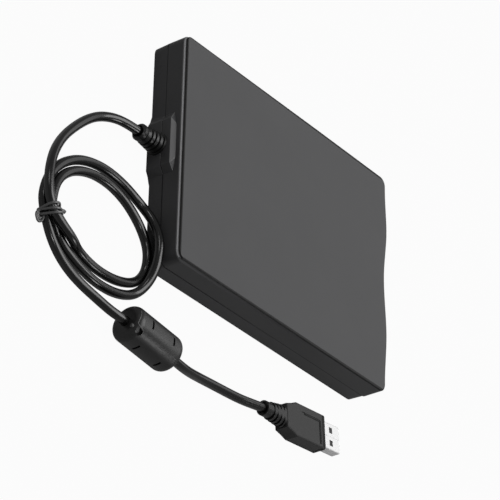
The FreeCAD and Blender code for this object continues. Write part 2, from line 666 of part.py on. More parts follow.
def button_low_z():
    """Underside of the eject button."""
    return SLIDER_Z + SLIP


def button_window():
    """Hole in the bezel that the eject button slides through."""
    low = button_low_z() - 1.5 * FIT
    return box(BUTTON_X - BUTTON_WIDTH / 2 - FIT, BUTTON_X + BUTTON_WIDTH / 2 + FIT, BEZEL_FACE_Y - 1,
               BEZEL_REAR_Y + 1, low, button_low_z() + BUTTON_HEIGHT + FIT)


def lens_z():
    """Middle height of the light."""
    return DECK_Z + 2.2


def lens_window():
    """Hole in the bezel for the light."""
    return box(LENS_X - LENS_WIDTH / 2, LENS_X + LENS_WIDTH / 2, BEZEL_FACE_Y - 1, BEZEL_REAR_Y + 1,
               lens_z() - LENS_HEIGHT / 2, lens_z() + LENS_HEIGHT / 2)


def led_lens():
    """Clear light pipe, proud of the bezel by a hair and rounded at its face."""
    solid = box(LENS_X - LENS_WIDTH / 2, LENS_X + LENS_WIDTH / 2, BEZEL_FACE_Y - 0.3, BEZEL_REAR_Y + 0.6,
                lens_z() - LENS_HEIGHT / 2, lens_z() + LENS_HEIGHT / 2)
    face = [e for e in solid.Edges if e.BoundBox.YMax < BEZEL_FACE_Y - 0.2]
    return solid.makeFillet(0.25, face)


def led():
    """Small lamp behind the light pipe, on the bezel's shelf."""
    low = lens_z() - LENS_HEIGHT / 2
    body = box(LENS_X - 1.5, LENS_X + 1.5, BEZEL_REAR_Y + 1.4, BEZEL_REAR_Y + 3.6, low, low + 1.6)
    dome = rod(0.8, (LENS_X, BEZEL_REAR_Y + 0.6, low + 0.8), (0, 1, 0), 0.8)
    return fuse([body, dome])


def slot_door():
    """Flap behind the slot with a rounded hinge edge and integral pins."""
    half = SLOT_HALF_WIDTH + FIT
    low = SLOT_LOW_Z - FIT
    y0 = DOOR_PIN_Y - DOOR_THICKNESS / 2
    leaf = box(-half, half, y0, y0 + DOOR_THICKNESS, low, DOOR_PIN_Z)
    barrel = rod(DOOR_THICKNESS / 2, (-half, DOOR_PIN_Y, DOOR_PIN_Z), (1, 0, 0), 2 * half)
    pins = rod(DOOR_THICKNESS / 2, (-half - FIT, DOOR_PIN_Y, DOOR_PIN_Z), (1, 0, 0), 2 * (half + FIT))
    reach = CHASSIS_INNER - 2 * FIT
    axle = rod(DOOR_PIN_RADIUS, (-reach, DOOR_PIN_Y, DOOR_PIN_Z), (1, 0, 0), 2 * reach)
    relief = box(-30, 30, y0 + 0.6, y0 + DOOR_THICKNESS, low + 0.8, DOOR_PIN_Z - 1.2)
    return fuse([leaf.cut(relief), barrel, pins, axle])


def eject_button():
    """Key cap with a dished face and rounded rim, its stem inside the case."""
    x0, x1 = BUTTON_X - BUTTON_WIDTH / 2, BUTTON_X + BUTTON_WIDTH / 2
    y0 = BEZEL_FACE_Y - BUTTON_PROUD
    z0 = button_low_z()
    solid = box(x0, x1, y0, y0 + BUTTON_LENGTH, z0, z0 + BUTTON_HEIGHT)
    face = [e for e in solid.Edges if e.BoundBox.YMax < y0 + 0.01]
    solid = solid.makeFillet(0.4, face)
    dish_radius = 26.0
    dish = rod(dish_radius, (BUTTON_X, y0 - dish_radius + 0.35, z0), (0, 0, 1), BUTTON_HEIGHT)
    hollow = box(x0 + 1, x1 - 1, y0 + 4, y0 + BUTTON_LENGTH - 1.2, z0 + 0.8, z0 + BUTTON_HEIGHT)
    return cut(solid, [dish, hollow])


# ---------------------------------------------------------------- chassis
def chassis():
    """Pressed tray: deck, side walls with upright guide slots, spring tabs and board standoffs."""
    deck = box(-CHASSIS_HALF_WIDTH, CHASSIS_HALF_WIDTH, BEZEL_REAR_Y, CHASSIS_REAR_Y, CHASSIS_Z, DECK_Z)
    wall = box(CHASSIS_INNER, CHASSIS_HALF_WIDTH, BEZEL_REAR_Y + 1.6, CHASSIS_WALL_REAR_Y, CHASSIS_Z,
               CHASSIS_WALL_TOP_Z)
    wall = cut(wall, [guide_slot(y) for y in CARRIER_PIN_Y])
    tab = box(SPRING_X - 2, SPRING_X + 1.9, CHASSIS_WALL_REAR_Y, CHASSIS_WALL_REAR_Y + CHASSIS_WALL,
              DECK_Z, SPRING_Z + 2)
    standoffs = [rod(1.6, (x, y, DECK_Z), (0, 0, 1), STANDOFF)
                 for x in (BOARD_X[0] + 3, BOARD_X[1] - 3) for y in (BOARD_Y[0] + 3, BOARD_Y[1] - 3)]
    solid = fuse([deck] + pair(wall) + pair(tab) + standoffs)
    notch = box(REAR_SCREW_X - 4.2, CASE_WIDTH, REAR_SCREW_Y - 4.8, REAR_Y, 0, CASE_HEIGHT)
    holes = [rod(BEARING_RADIUS, (0, SPINDLE_Y, 0), (0, 0, 1), CASE_HEIGHT)]
    holes += [rod(SCREW_RADIUS, (x, y, 0), (0, 0, 1), CASE_HEIGHT) for x, y in front_screw_places()]
    y = SPINDLE_Y - ROTOR_RADIUS
    windows = [plate(-34, -10, y - 19.6, y - 7.6, 0, DECK_Z + 1, 2),
               plate(10, 26, y - 7.6, y - 1.6, 0, DECK_Z + 1, 2)]
    return cut(solid, pair(notch) + holes + windows)


def guide_slot(y):
    """Upright slot for one carrier pin in the chassis wall."""
    r = CARRIER_PIN_RADIUS + FIT
    low = rod(r, (CHASSIS_INNER - 1, y, CARRIER_PIN_Z - LOAD_DROP), (1, 0, 0), 3)
    high = rod(r, (CHASSIS_INNER - 1, y, CARRIER_PIN_Z), (1, 0, 0), 3)
    web = box(CHASSIS_INNER - 1, CHASSIS_INNER + 2, y - r, y + r, CARRIER_PIN_Z - LOAD_DROP, CARRIER_PIN_Z)
    return fuse([low, high, web])


def shield_plate():
    """Steel lid of the mechanism, open over the head arm, with two stiffening beads."""
    top = box(-CHASSIS_HALF_WIDTH, CHASSIS_HALF_WIDTH, SHIELD_FRONT_Y, CHASSIS_WALL_REAR_Y,
              CHASSIS_WALL_TOP_Z, CHASSIS_WALL_TOP_Z + SHIELD_THICKNESS)
    front = HEAD_Y - HEAD_TRAVEL - HEAD_SIZE / 2 - 3.5
    bay = plate(-ROD_X - 1, ROD_X + 1, front, CHASSIS_WALL_REAR_Y + 5, 0, CASE_HEIGHT, 2)
    lightening = plate(-20, 20, SPINDLE_Y - 20, SPINDLE_Y + 10, 0, CASE_HEIGHT, 6)
    top_z = CHASSIS_WALL_TOP_Z + SHIELD_THICKNESS
    beads = [capsule((x, SPINDLE_Y - 33), (x, SPINDLE_Y + 47), 1.5, top_z, top_z + 2 * FIT)
             for x in (-32, 32)]
    return fuse([cut(top, [bay, lightening])] + beads)


# ---------------------------------------------------------------- eject mechanism
def cam_slot(y):
    """Sloping slot of the slider that lowers one carrier pin as the slider moves to the front."""
    r = CARRIER_PIN_RADIUS + FIT
    high = V(SLIDER_INNER - 1, y, CARRIER_PIN_Z)
    low = V(SLIDER_INNER - 1, y + EJECT_TRAVEL, CARRIER_PIN_Z - LOAD_DROP)
    run = V(low - high).normalize()
    side = V(1, 0, 0).cross(run) * r
    corners = [high + side, high - side, low - side, low + side]
    web = Part.Face(Part.makePolygon(corners + corners[:1])).extrude(V(SLIDER_THICKNESS + 2, 0, 0))
    ends = [rod(r, tuple(p), (1, 0, 0), SLIDER_THICKNESS + 2) for p in (high, low)]
    return fuse([web] + ends)


def eject_slider():
    """U-shaped slide: front cross-bar, two side flanges with cam slots and spring tabs."""
    top = SLIDER_Z + SLIDER_THICKNESS
    foot = box(SLIDER_FOOT_X, SLIDER_OUTER, CARRIER_FRONT_Y, SLIDER_REAR_Y, SLIDER_Z, top)
    flange = box(SLIDER_INNER, SLIDER_OUTER, CARRIER_PIN_Y[0] - 5, SLIDER_REAR_Y, SLIDER_Z,
                 CARRIER_PIN_Z + CARRIER_PIN_RADIUS + 1.3)
    flange = cut(flange, [cam_slot(y) for y in CARRIER_PIN_Y])
    window = plate_yz(SLIDER_INNER - 1, SLIDER_OUTER + 1, CARRIER_PIN_Y[0] + 14, CARRIER_PIN_Y[1] - 10,
                      top + 2, CARRIER_PIN_Z, 1.2)
    tab = box(SPRING_X - 2, SLIDER_OUTER, SLIDER_REAR_Y - SLIDER_THICKNESS, SLIDER_REAR_Y, SLIDER_Z,
              SPRING_Z + 2)
    side = fuse([foot, flange.cut(window), tab])
    bar = box(-SLIDER_OUTER, SLIDER_OUTER, CARRIER_FRONT_Y, CARRIER_FRONT_Y + 5, SLIDER_Z, top)
    stem_y = BEZEL_FACE_Y - BUTTON_PROUD + BUTTON_LENGTH
    stem = box(BUTTON_X - 4, BUTTON_X + 4, stem_y, CARRIER_FRONT_Y, SLIDER_Z, top)
    upstand = box(BUTTON_X - 3, BUTTON_X + 3, stem_y, stem_y + SLIDER_THICKNESS, SLIDER_Z, top + 1.4)
    return fuse(pair(side) + [bar, stem, upstand])


def plate_yz(x0, x1, y0, y1, z0, z1, radius):
    """Plate across X with rounded corners as seen from the side."""
    solid = box(x0, x1, y0, y1, z0, z1)
    across = [e for e in solid.Edges if abs(e.tangentAt(e.FirstParameter).x) > 0.9]
    return solid.makeFillet(radius, across)


def slider_springs():
    """Two compression springs between the slider's tabs and the chassis."""
    length = CHASSIS_WALL_REAR_Y - SLIDER_REAR_Y - 2 * SPRING_WIRE
    start_y = SLIDER_REAR_Y + SPRING_WIRE
    return [coil_spring((x, start_y, SPRING_Z), (0, 1, 0), SPRING_RADIUS, SPRING_WIRE, length, 6)
            for x in (SPRING_X, -SPRING_X)]


def disk_carrier():
    """Cage that the disk slides into: roof, side rails, lips underneath and rear stops."""
    roof = box(-RAIL_OUTER, RAIL_OUTER, CARRIER_FRONT_Y, CARRIER_REAR_Y, BAY_HIGH_Z, CARRIER_ROOF_Z)
    rail = box(RAIL_INNER, RAIL_OUTER, CARRIER_FRONT_Y, CARRIER_REAR_Y, CARRIER_LIP_Z, BAY_HIGH_Z)
    lip = box(RAIL_OUTER - CARRIER_LIP, RAIL_OUTER, CARRIER_FRONT_Y, LEVER_PIVOT[1], CARRIER_LIP_Z,
              BAY_LOW_Z)
    stop = box(RAIL_INNER - 15.6, RAIL_OUTER, DISK_REAR_Y + FIT, CARRIER_REAR_Y, BAY_LOW_Z, BAY_HIGH_Z)
    front = HEAD_Y - HEAD_TRAVEL - HEAD_SIZE / 2 - 3.5
    window = plate(-ROD_X - 0.5, ROD_X + 0.5, front, DISK_REAR_Y + 6, 0, CASE_HEIGHT, 1.5)
    hub_window = rod(HUB_RADIUS + 2.5, (0, SPINDLE_Y, BAY_HIGH_Z - 1), (0, 0, 1), 4)
    finger_window = lever_window()
    pivot = rod(SPINDLE_RADIUS, (*LEVER_PIVOT, BAY_HIGH_Z - 1), (0, 0, 1), 4)
    roof = cut(roof, [window, hub_window, finger_window, pivot])
    return fuse([roof] + pair(rail) + pair(lip) + pair(stop))


def lever_point(degrees, reach):
    """Plan point on the lever's circle."""
    a = math.radians(degrees)
    return (LEVER_PIVOT[0] + reach * math.cos(a), LEVER_PIVOT[1] + reach * math.sin(a))


def lever_window():
    """Curved opening in the carrier's roof along the lever finger's path."""
    r = LEVER_FINGER_RADIUS + 3 * FIT
    last = LEVER_REST_DEG - LEVER_SWING_DEG
    outer = sector(LEVER_REACH + r, last, LEVER_REST_DEG)
    inner = rod(LEVER_REACH - r, (*LEVER_PIVOT, 0), (0, 0, 1), CASE_HEIGHT)
    ends = [rod(r, (*lever_point(a, LEVER_REACH), 0), (0, 0, 1), CASE_HEIGHT)
            for a in (last, LEVER_REST_DEG)]
    return fuse([outer.cut(inner)] + ends)


def sector(radius, start_deg, end_deg):
    """Pie slice about the lever's pivot."""
    a, b = (lever_point(d, radius) for d in (start_deg, end_deg))
    mid = lever_point((start_deg + end_deg) / 2, radius)
    centre = V(*LEVER_PIVOT, 0)
    arc = Part.Arc(V(*a, 0), V(*mid, 0), V(*b, 0)).toShape()
    wire = Part.Wire([Part.makeLine(centre, V(*a, 0)), arc, Part.makeLine(V(*b, 0), centre)])
    return Part.Face(wire).extrude(V(0, 0, CASE_HEIGHT))


def carrier_pins():
    """Four pins that ride in the slider's cams and the chassis slots."""
    reach = CHASSIS_HALF_WIDTH - FIT - RAIL_OUTER
    return [shape for y in CARRIER_PIN_Y
            for shape in pair(rod(CARRIER_PIN_RADIUS, (RAIL_OUTER, y, CARRIER_PIN_Z), (1, 0, 0), reach))]


def trigger_lever():
    """Swinging arm on the carrier's roof; its finger hangs into the disk's path."""
    finger = lever_point(LEVER_REST_DEG, LEVER_REACH)
    thickness = CARRIER_THICKNESS
    arm = capsule(LEVER_PIVOT, finger, 2.2, LEVER_Z, LEVER_Z + thickness)
    eye = rod(3.2, (*LEVER_PIVOT, LEVER_Z), (0, 0, 1), thickness)
    drop = rod(LEVER_FINGER_RADIUS, (*finger, BAY_LOW_Z + 0.4), (0, 0, 1), LEVER_Z - BAY_LOW_Z)
    bore = rod(SPINDLE_RADIUS + RUNNING, (*LEVER_PIVOT, LEVER_Z - 1), (0, 0, 1), 4)
    return fuse([arm, eye, drop]).cut(bore)


def lever_rivet():
    """Headed rivet that the lever swings on."""
    shank_top = LEVER_Z + CARRIER_THICKNESS + SLIP
    shank = rod(SPINDLE_RADIUS, (*LEVER_PIVOT, BAY_HIGH_Z), (0, 0, 1), shank_top - BAY_HIGH_Z)
    head = rod(2.4, (*LEVER_PIVOT, shank_top), (0, 0, 1), 0.25)
    return fuse([shank, head])


# ---------------------------------------------------------------- spindle
def motor_board():
    """Round circuit board of the spindle motor with a tab for its ribbon."""
    disc = rod(ROTOR_RADIUS + 3, (0, SPINDLE_Y, DECK_Z), (0, 0, 1), BOARD_THICKNESS)
    tab = plate(-38, -8, SPINDLE_Y + 5, SPINDLE_Y + 25, DECK_Z, PCB_TOP_Z, 1.5)
    bore = rod(BEARING_RADIUS + FIT, (0, SPINDLE_Y, 0), (0, 0, 1), CASE_HEIGHT)
    return fuse([disc, tab]).cut(bore)


def stator_coils():
    """Flat ring-shaped windings on the motor board."""
    coils = []
    for k in range(STATOR_COILS):
        a = 2 * math.pi * k / STATOR_COILS
        x, y = STATOR_RING_RADIUS * math.cos(a), SPINDLE_Y + STATOR_RING_RADIUS * math.sin(a)
        coils.append(ring(STATOR_COIL_RADIUS, STATOR_COIL_RADIUS * 0.4, (x, y, PCB_TOP_Z), (0, 0, 1), 0.5))
    return coils


def spindle_bearing():
    """Plain sleeve pressed into the deck."""
    return ring(BEARING_RADIUS, SPINDLE_RADIUS + RUNNING, (0, SPINDLE_Y, CHASSIS_Z), (0, 0, 1),
                PCB_TOP_Z + 0.6 - CHASSIS_Z)


def spindle_rotor():
    """Shallow steel cup that carries the magnet ring."""
    low = PCB_TOP_Z + 0.2
    cup = rod(ROTOR_RADIUS, (0, SPINDLE_Y, low), (0, 0, 1), HUB_Z - low)
    hollow = rod(ROTOR_RADIUS - ROTOR_WALL, (0, SPINDLE_Y, low), (0, 0, 1), HUB_Z - low - ROTOR_WALL)
    bore = rod(SPINDLE_RADIUS, (0, SPINDLE_Y, low), (0, 0, 1), CASE_HEIGHT)
    return cut(cup, [hollow, bore])


def rotor_magnet():
    """Magnet ring inside the rotor's rim."""
    low = PCB_TOP_Z + 0.2
    return ring(ROTOR_RADIUS - ROTOR_WALL, MAGNET_INNER, (0, SPINDLE_Y, low), (0, 0, 1),
                HUB_Z - low - ROTOR_WALL)


def spindle_hub():
    """Hub table with a bevelled rim, centre tip and shaft."""
    table = Part.makeCone(HUB_RADIUS, HUB_RADIUS - 0.5, 0.5, V(0, SPINDLE_Y, HUB_Z + 0.5))
    base = rod(HUB_RADIUS, (0, SPINDLE_Y, HUB_Z), (0, 0, 1), 0.5)
    shaft = rod(SPINDLE_RADIUS, (0, SPINDLE_Y, CHASSIS_Z + FIT), (0, 0, 1), BAY_LOW_Z - CHASSIS_Z - 0.8)
    tip = Part.makeCone(SPINDLE_RADIUS, SPINDLE_RADIUS - 0.5, 0.4, V(0, SPINDLE_Y, BAY_LOW_Z - 0.6))
    pocket = rod(1.0, (9.5, SPINDLE_Y, HUB_Z), (0, 0, 1), 2)
    return fuse([table, base, shaft, tip]).cut(pocket)


def drive_pin():
    """Pin that turns the disk's hub."""
    body = rod(1.0, (9.5, SPINDLE_Y, HUB_Z), (0, 0, 1), BAY_LOW_Z - 0.3 - HUB_Z)
    top = [e for e in body.Edges if e.BoundBox.ZMin > BAY_LOW_Z - 0.4]
    return body.makeFillet(0.3, top)


# ---------------------------------------------------------------- heads
def head_carriage():
    """Moulded carriage: bores for the rods, lower arm, ears for the upper arm and screw follower."""
    y0, y1 = CARRIAGE_FRONT_Y, CARRIAGE_REAR_Y
    low = DECK_Z + 1.0
    body = box(-CARRIAGE_HALF_WIDTH, CARRIAGE_HALF_WIDTH, y0, y1, low, CARRIAGE_TOP_Z)
    arm_front = HEAD_Y - HEAD_SIZE / 2 - 1.2
    arm = prism([(-6, y0, LOWER_ARM_Z), (6, y0, LOWER_ARM_Z), (3.4, arm_front, LOWER_ARM_Z),
                 (-3.4, arm_front, LOWER_ARM_Z)], (0, 0, LOWER_ARM))
    rib = box(-0.6, 0.6, HEAD_Y + HEAD_SIZE, y0, LOWER_ARM_Z + LOWER_ARM, LOWER_ARM_Z + LOWER_ARM + 2 * FIT)
    ear = box(6.6, 8.6, ARM_PIVOT_Y - 1.9, ARM_PIVOT_Y + 1.9, CARRIAGE_TOP_Z, ARM_PIVOT_Z + 1.5)
    follower = box(CARRIAGE_HALF_WIDTH - 1, SCREW_AXIS_X - ROD_RADIUS - 0.5, FOLLOWER_Y - 1, FOLLOWER_Y + 1,
                   SCREW_AXIS_Z - 1.6, CARRIAGE_TOP_Z)
    tooth = rod(0.3, (SCREW_AXIS_X - ROD_RADIUS - 0.6, FOLLOWER_Y, SCREW_AXIS_Z), (1, 0, 0), 0.9)
    solid = fuse([body, arm, rib, follower, tooth] + pair(ear))
    rod_bore = rod(ROD_RADIUS + RUNNING, (ROD_X, y0 - 1, ROD_Z), (0, 1, 0), CARRIAGE_LENGTH + 2)
    fork = box(-CARRIAGE_HALF_WIDTH - 1, -ROD_X, y0 - 1, y1 + 1, ROD_Z - ROD_RADIUS - RUNNING,
               ROD_Z + ROD_RADIUS + RUNNING)
    fork_end = mirrored(rod_bore)
    saddle = box(-6.6, 6.6, ARM_PIVOT_Y - 2.4, ARM_PIVOT_Y + 2.4, ARM_PIVOT_Z - 1.6, CASE_HEIGHT)
    pocket = plate(-6, 6, y0 + 1.2, y1 - 1.2, low - 1, ROD_Z, 1)
    pin = rod(0.8, (-9, ARM_PIVOT_Y, ARM_PIVOT_Z), (1, 0, 0), 18)
    return cut(solid, [rod_bore, fork, fork_end, saddle, pocket, pin])


def arm_pin():
    """Hinge pin of the upper head arm."""
    return rod(0.8, (-8.6, ARM_PIVOT_Y, ARM_PIVOT_Z), (1, 0, 0), 17.2)


def arm_spring():
    """Torsion spring that presses the upper arm down."""
    return coil_spring((3.9, ARM_PIVOT_Y, ARM_PIVOT_Z), (1, 0, 0), 1.2, 0.2, 2.0, 4)


def lifted(shape):
    """A piece of the upper arm, turned up about its pivot as it rests with no disk in."""
    twin = shape.copy()
    twin.rotate(V(0, ARM_PIVOT_Y, ARM_PIVOT_Z), V(1, 0, 0), -ARM_LIFT_DEG)
    return twin


def upper_head_arm():
    """Tapered arm with turned-down edges and a knuckle on the hinge pin."""
    z0, z1 = ARM_PIVOT_Z - ARM_THICKNESS / 2, ARM_PIVOT_Z + ARM_THICKNESS / 2
    front = HEAD_Y - HEAD_SIZE / 2 - 0.3
    leaf = prism([(-5.5, ARM_PIVOT_Y, z0), (5.5, ARM_PIVOT_Y, z0), (3.0, front, z0), (-3.0, front, z0)],
                 (0, 0, z1 - z0))
    knuckle = rod(1.15, (-3.5, ARM_PIVOT_Y, ARM_PIVOT_Z), (1, 0, 0), 7.0)
    trim = [box(x, x + 3, ARM_PIVOT_Y - 1.8, ARM_PIVOT_Y + 2, z0 - 1, z1 + 1) for x in (-6.5, 3.5)]
    bore = rod(0.8 + RUNNING, (-9, ARM_PIVOT_Y, ARM_PIVOT_Z), (1, 0, 0), 18)
    window = plate(-2, 2, HEAD_Y + 7.5, ARM_PIVOT_Y - 7, z0 - 1, z1 + 1, 1)
    return lifted(cut(fuse([cut(leaf, trim), knuckle]), [bore, window]))


def head_block(z0, z1, up):
    """Slider of one head with bevelled edges on its working face."""
    half = HEAD_SIZE / 2
    solid = box(-half, half, HEAD_Y - half, HEAD_Y + half, z0, z1)
    face_z = z1 if up else z0
    rim = [e for e in solid.Edges if abs(e.BoundBox.ZMin - face_z) < 0.01 and e.BoundBox.ZLength < 0.01]
    return solid.makeChamfer(min(0.4, (z1 - z0) / 3), rim)


def lower_head():
    """Fixed head on the lower arm."""
    return head_block(LOWER_ARM_Z + LOWER_ARM, BAY_LOW_Z - SLIP, True)


def upper_head():
    """Head under the upper arm."""
    return lifted(head_block(BAY_LOW_Z + RUNNING, ARM_PIVOT_Z - ARM_THICKNESS / 2, False))


def guide_rods():
    """Two polished rods that the carriage runs on."""
    return pair(rod(ROD_RADIUS, (ROD_X, RAIL_FRONT_Y, ROD_Z), (0, 1, 0), RAIL_REAR_Y - RAIL_FRONT_Y))


def rod_clamps():
    """Blocks that hold the rods' ends on the deck."""
    blocks = []
    for y in (RAIL_FRONT_Y, RAIL_REAR_Y - CLAMP_LENGTH):
        block = box(ROD_X - 2.3, ROD_X + 2.3, y, y + CLAMP_LENGTH, DECK_Z, ROD_Z + ROD_RADIUS + 0.6)
        bore = rod(ROD_RADIUS, (ROD_X, y - 1, ROD_Z), (0, 1, 0), CLAMP_LENGTH + 2)
        blocks += pair(block.cut(bore))
    return blocks


def lead_screw():
    """Shaft with one right-hand helical groove and a journal at each end."""
    y0, y1 = RAIL_FRONT_Y + FIT, MOTOR_Y + 3
    thread_y0, thread_y1 = RAIL_FRONT_Y + CLAMP_LENGTH + 2 * FIT, MOTOR_Y - 1.0
    core = rod(JOURNAL_RADIUS, (SCREW_AXIS_X, y0, SCREW_AXIS_Z), (0, 1, 0), y1 - y0)
    body = rod(ROD_RADIUS, (SCREW_AXIS_X, thread_y0, SCREW_AXIS_Z), (0, 1, 0), thread_y1 - thread_y0)
    turns = math.ceil(HEAD_TRAVEL / SCREW_PITCH) + 1
    helix = Part.makeLongHelix(SCREW_PITCH, turns * SCREW_PITCH, GROOVE_CENTRE)
    profile = Part.Wire(Part.makeCircle(GROOVE_RADIUS, V(GROOVE_CENTRE, 0, 0), V(0, 1, 0)))
    groove = helix.makePipeShell([profile], True, True)
    groove.Placement = FreeCAD.Placement(V(0, 0, 0), FreeCAD.Rotation(V(0, 0, 1), V(0, 1, 0)))
    groove.rotate(V(0, 0, 0), V(0, 1, 0), 180)
    groove.translate(V(SCREW_AXIS_X, FOLLOWER_Y - (turns - 0.5) * SCREW_PITCH, SCREW_AXIS_Z))
    groove.rotate(V(SCREW_AXIS_X, 0, SCREW_AXIS_Z), V(0, 1, 0), 180)
    return core.fuse(body.cut(groove))


def screw_bearing():
    """Post with a plain bearing at the screw's front end."""
    y0 = RAIL_FRONT_Y
    post = box(SCREW_AXIS_X - 2.3, SCREW_AXIS_X + 2.3, y0, y0 + CLAMP_LENGTH, DECK_Z, SCREW_AXIS_Z + 2.2)
    return post.cut(rod(JOURNAL_RADIUS + RUNNING, (SCREW_AXIS_X, y0 - 1, SCREW_AXIS_Z), (0, 1, 0),
                        CLAMP_LENGTH + 2))


def stepper_motor():
    """Round can with a front flange and a foot on the deck."""
    can = rod(MOTOR_RADIUS, (SCREW_AXIS_X, MOTOR_Y, SCREW_AXIS_Z), (0, 1, 0), MOTOR_LENGTH)
    rear = [e for e in can.Edges if e.BoundBox.YMin > MOTOR_Y + MOTOR_LENGTH - 0.01]
    can = can.makeFillet(0.6, rear)
    flange = box(SCREW_AXIS_X - 6.2, SCREW_AXIS_X + 6.2, MOTOR_Y - 0.6, MOTOR_Y, DECK_Z, SCREW_AXIS_Z + 4.4)
    bore = rod(JOURNAL_RADIUS + RUNNING, (SCREW_AXIS_X, MOTOR_Y - 1, SCREW_AXIS_Z), (0, 1, 0), 4.2)
    return fuse([can, flange]).cut(bore)


# ---------------------------------------------------------------- electronics
def control_board():
    """Circuit board at the rear left with its corner cleared for the screw post."""
    board = plate(BOARD_X[0], BOARD_X[1], BOARD_Y[0], BOARD_Y[1], BOARD_Z, BOARD_TOP_Z, 1.0)
    return board.cut(box(-CASE_WIDTH, -REAR_SCREW_X + 4.2, REAR_SCREW_Y - 4.8, REAR_Y, 0, CASE_HEIGHT))


def chip(x, y, width, depth):
    """Flat package with bevelled top edges."""
    solid = box(x, x + width, y, y + depth, BOARD_TOP_Z, BOARD_TOP_Z + 1.4)
    rim = [e for e in solid.Edges if e.BoundBox.ZMin > BOARD_TOP_Z + 1.3]
    return solid.makeChamfer(0.25, rim)


def control_chips():
    """Bridge controller, drive controller and memory."""
    x, y = BOARD_X[0], BOARD_Y[0]
    return [chip(x + 2, y + 9, 9, 9), chip(x + 14, y + 8, 7, 10), chip(x + 6, y + 20, 6, 4)]


def crystal():
    """Can-shaped crystal lying on the board."""
    x, y = BOARD_X[1] - 7, BOARD_Y[0] + 20
    return plate(x, x + 4.2, y, y + 1.9, BOARD_TOP_Z, BOARD_TOP_Z + 2.4, 0.9)


def ribbon_connector():
    """Socket for the motor's ribbon."""
    return box(BOARD_X[0] + 3.5, BOARD_X[0] + 17.5, BOARD_Y[0] + 0.4, BOARD_Y[0] + 3.4, BOARD_TOP_Z,
               BOARD_TOP_Z + 1.8)


def motor_ribbon():
    """Flat flexible cable from the motor board, along the deck and up to its socket."""
    socket_y = BOARD_Y[0] + 0.4
    edge = SPINDLE_Y + 25
    path = [(edge - 4, PCB_TOP_Z), (edge + 0.4, PCB_TOP_Z), (edge + 1.6, DECK_Z + 0.05),
            (BOARD_Y[0] - 3, DECK_Z + 0.05),
            (BOARD_Y[0] - 1.2, BOARD_TOP_Z + 0.6), (socket_y, BOARD_TOP_Z + 0.6)]
    return ribbon(path, 0.2, BOARD_X[0] + 4.5, BOARD_X[0] + 16.5)


def cord_header():
    """White plug-in header where the cord's wires end."""
    x1 = BOARD_X[1]
    shell = box(x1 - 5, x1, PIGTAIL_Y - 3, PIGTAIL_Y + 2.2, BOARD_TOP_Z, BOARD_TOP_Z + 3.2)
    return shell


def cord_pigtail():
    """Inner end of the cord, bent from the gland to its header."""
    bend = 3.6
    start_y = INNER_REAR_Y - 1.8
    centre = V(GLAND_X - bend, PIGTAIL_Y + bend, GLAND_Z)
    first = rod(PIGTAIL_RADIUS, (GLAND_X, start_y, GLAND_Z), (0, -1, 0), start_y - centre.y)
    disc = Part.Face(Part.Wire(Part.makeCircle(PIGTAIL_RADIUS, V(GLAND_X, centre.y, GLAND_Z), V(0, -1, 0))))
    elbow = disc.revolve(centre, V(0, 0, -1), 90)
    second = rod(PIGTAIL_RADIUS, (centre.x, PIGTAIL_Y, GLAND_Z), (-1, 0, 0), centre.x - BOARD_X[1])
    return fuse([first, elbow, second])


def disk_sensors():
    """Two sensor blocks beside the disk's front corners."""
    x1, y0 = SLIDER_FOOT_X - 1, CARRIER_PIN_Y[0]
    return pair(box(x1 - 4.5, x1, y0, y0 + 6, DECK_Z, DECK_Z + 2.0))


# ---------------------------------------------------------------- cord and what is on it
def cord_gland():
    """Moulded strain relief: inner flange, neck, tapered and grooved tail with a rolled end."""
    step = GLAND_LENGTH / (2 * GLAND_GROOVES + 4)
    profile = [(GLAND_BASE_RADIUS, 0.0)]
    for k in range(GLAND_GROOVES):
        low, high = (2 * k + 1) * step, (2 * k + 2) * step
        taper = (GLAND_BASE_RADIUS - GLAND_TIP_RADIUS) / GLAND_LENGTH
        r0, r1 = GLAND_BASE_RADIUS - taper * low, GLAND_BASE_RADIUS - taper * high
        profile += [(r0, low), (r0 - 0.8, low + 0.2), (r1 - 0.8, high - 0.2), (r1, high)]
    tail = [(GLAND_TIP_RADIUS + 0.05, GLAND_LENGTH - 3.0), (GLAND_TIP_RADIUS + 0.3, GLAND_LENGTH - 2.0),
            (GLAND_TIP_RADIUS + 0.3, GLAND_LENGTH - 0.8), (GLAND_TIP_RADIUS - 0.3, GLAND_LENGTH),
            (CORD_RADIUS + 0.6, GLAND_LENGTH), (CORD_RADIUS + 0.4, GLAND_LENGTH - 1.2),
            (0, GLAND_LENGTH - 1.2)]
    outline = [(0, 0.0)] + profile + tail
    points = [V(GLAND_X + r, GLAND_Y + s, GLAND_Z) for r, s in outline]
    face = Part.Face(Part.makePolygon(points + points[:1]))
    cone = face.revolve(V(GLAND_X, 0, GLAND_Z), V(0, 1, 0), 360)
    neck = rod(GLAND_NECK_RADIUS, (GLAND_X, INNER_REAR_Y, GLAND_Z), (0, 1, 0), GLAND_Y - INNER_REAR_Y)
    flange = plate_xz(GLAND_X - 5.5, GLAND_X + 5.5, INNER_REAR_Y - 1.8, INNER_REAR_Y, FLOOR_Z + SLIP,
                      GLAND_Z + 5, 1.5)
    return fuse([cone, neck, flange])


def cord_lead():
    """Cord from the gland to the tie."""
    return cord_tube(LEAD_ROUTE, CORD_RADIUS)[0]


def cord_tail():
    """Cord from the tie, through the ferrite clamp, to the plug."""
    return cord_tube(TAIL_ROUTE, CORD_RADIUS)[0]


def ellipse_solid(centre, semi, z0, z1):
    """Upright elliptical column."""
    major, minor = max(semi), min(semi)
    ellipse = Part.Ellipse(V(centre[0], centre[1], z0), major, minor).toShape()
    if semi[1] > semi[0]:
        ellipse.rotate(V(centre[0], centre[1], z0), V(0, 0, 1), 90)
    return Part.Face(Part.Wire(ellipse)).extrude(V(0, 0, z1 - z0))


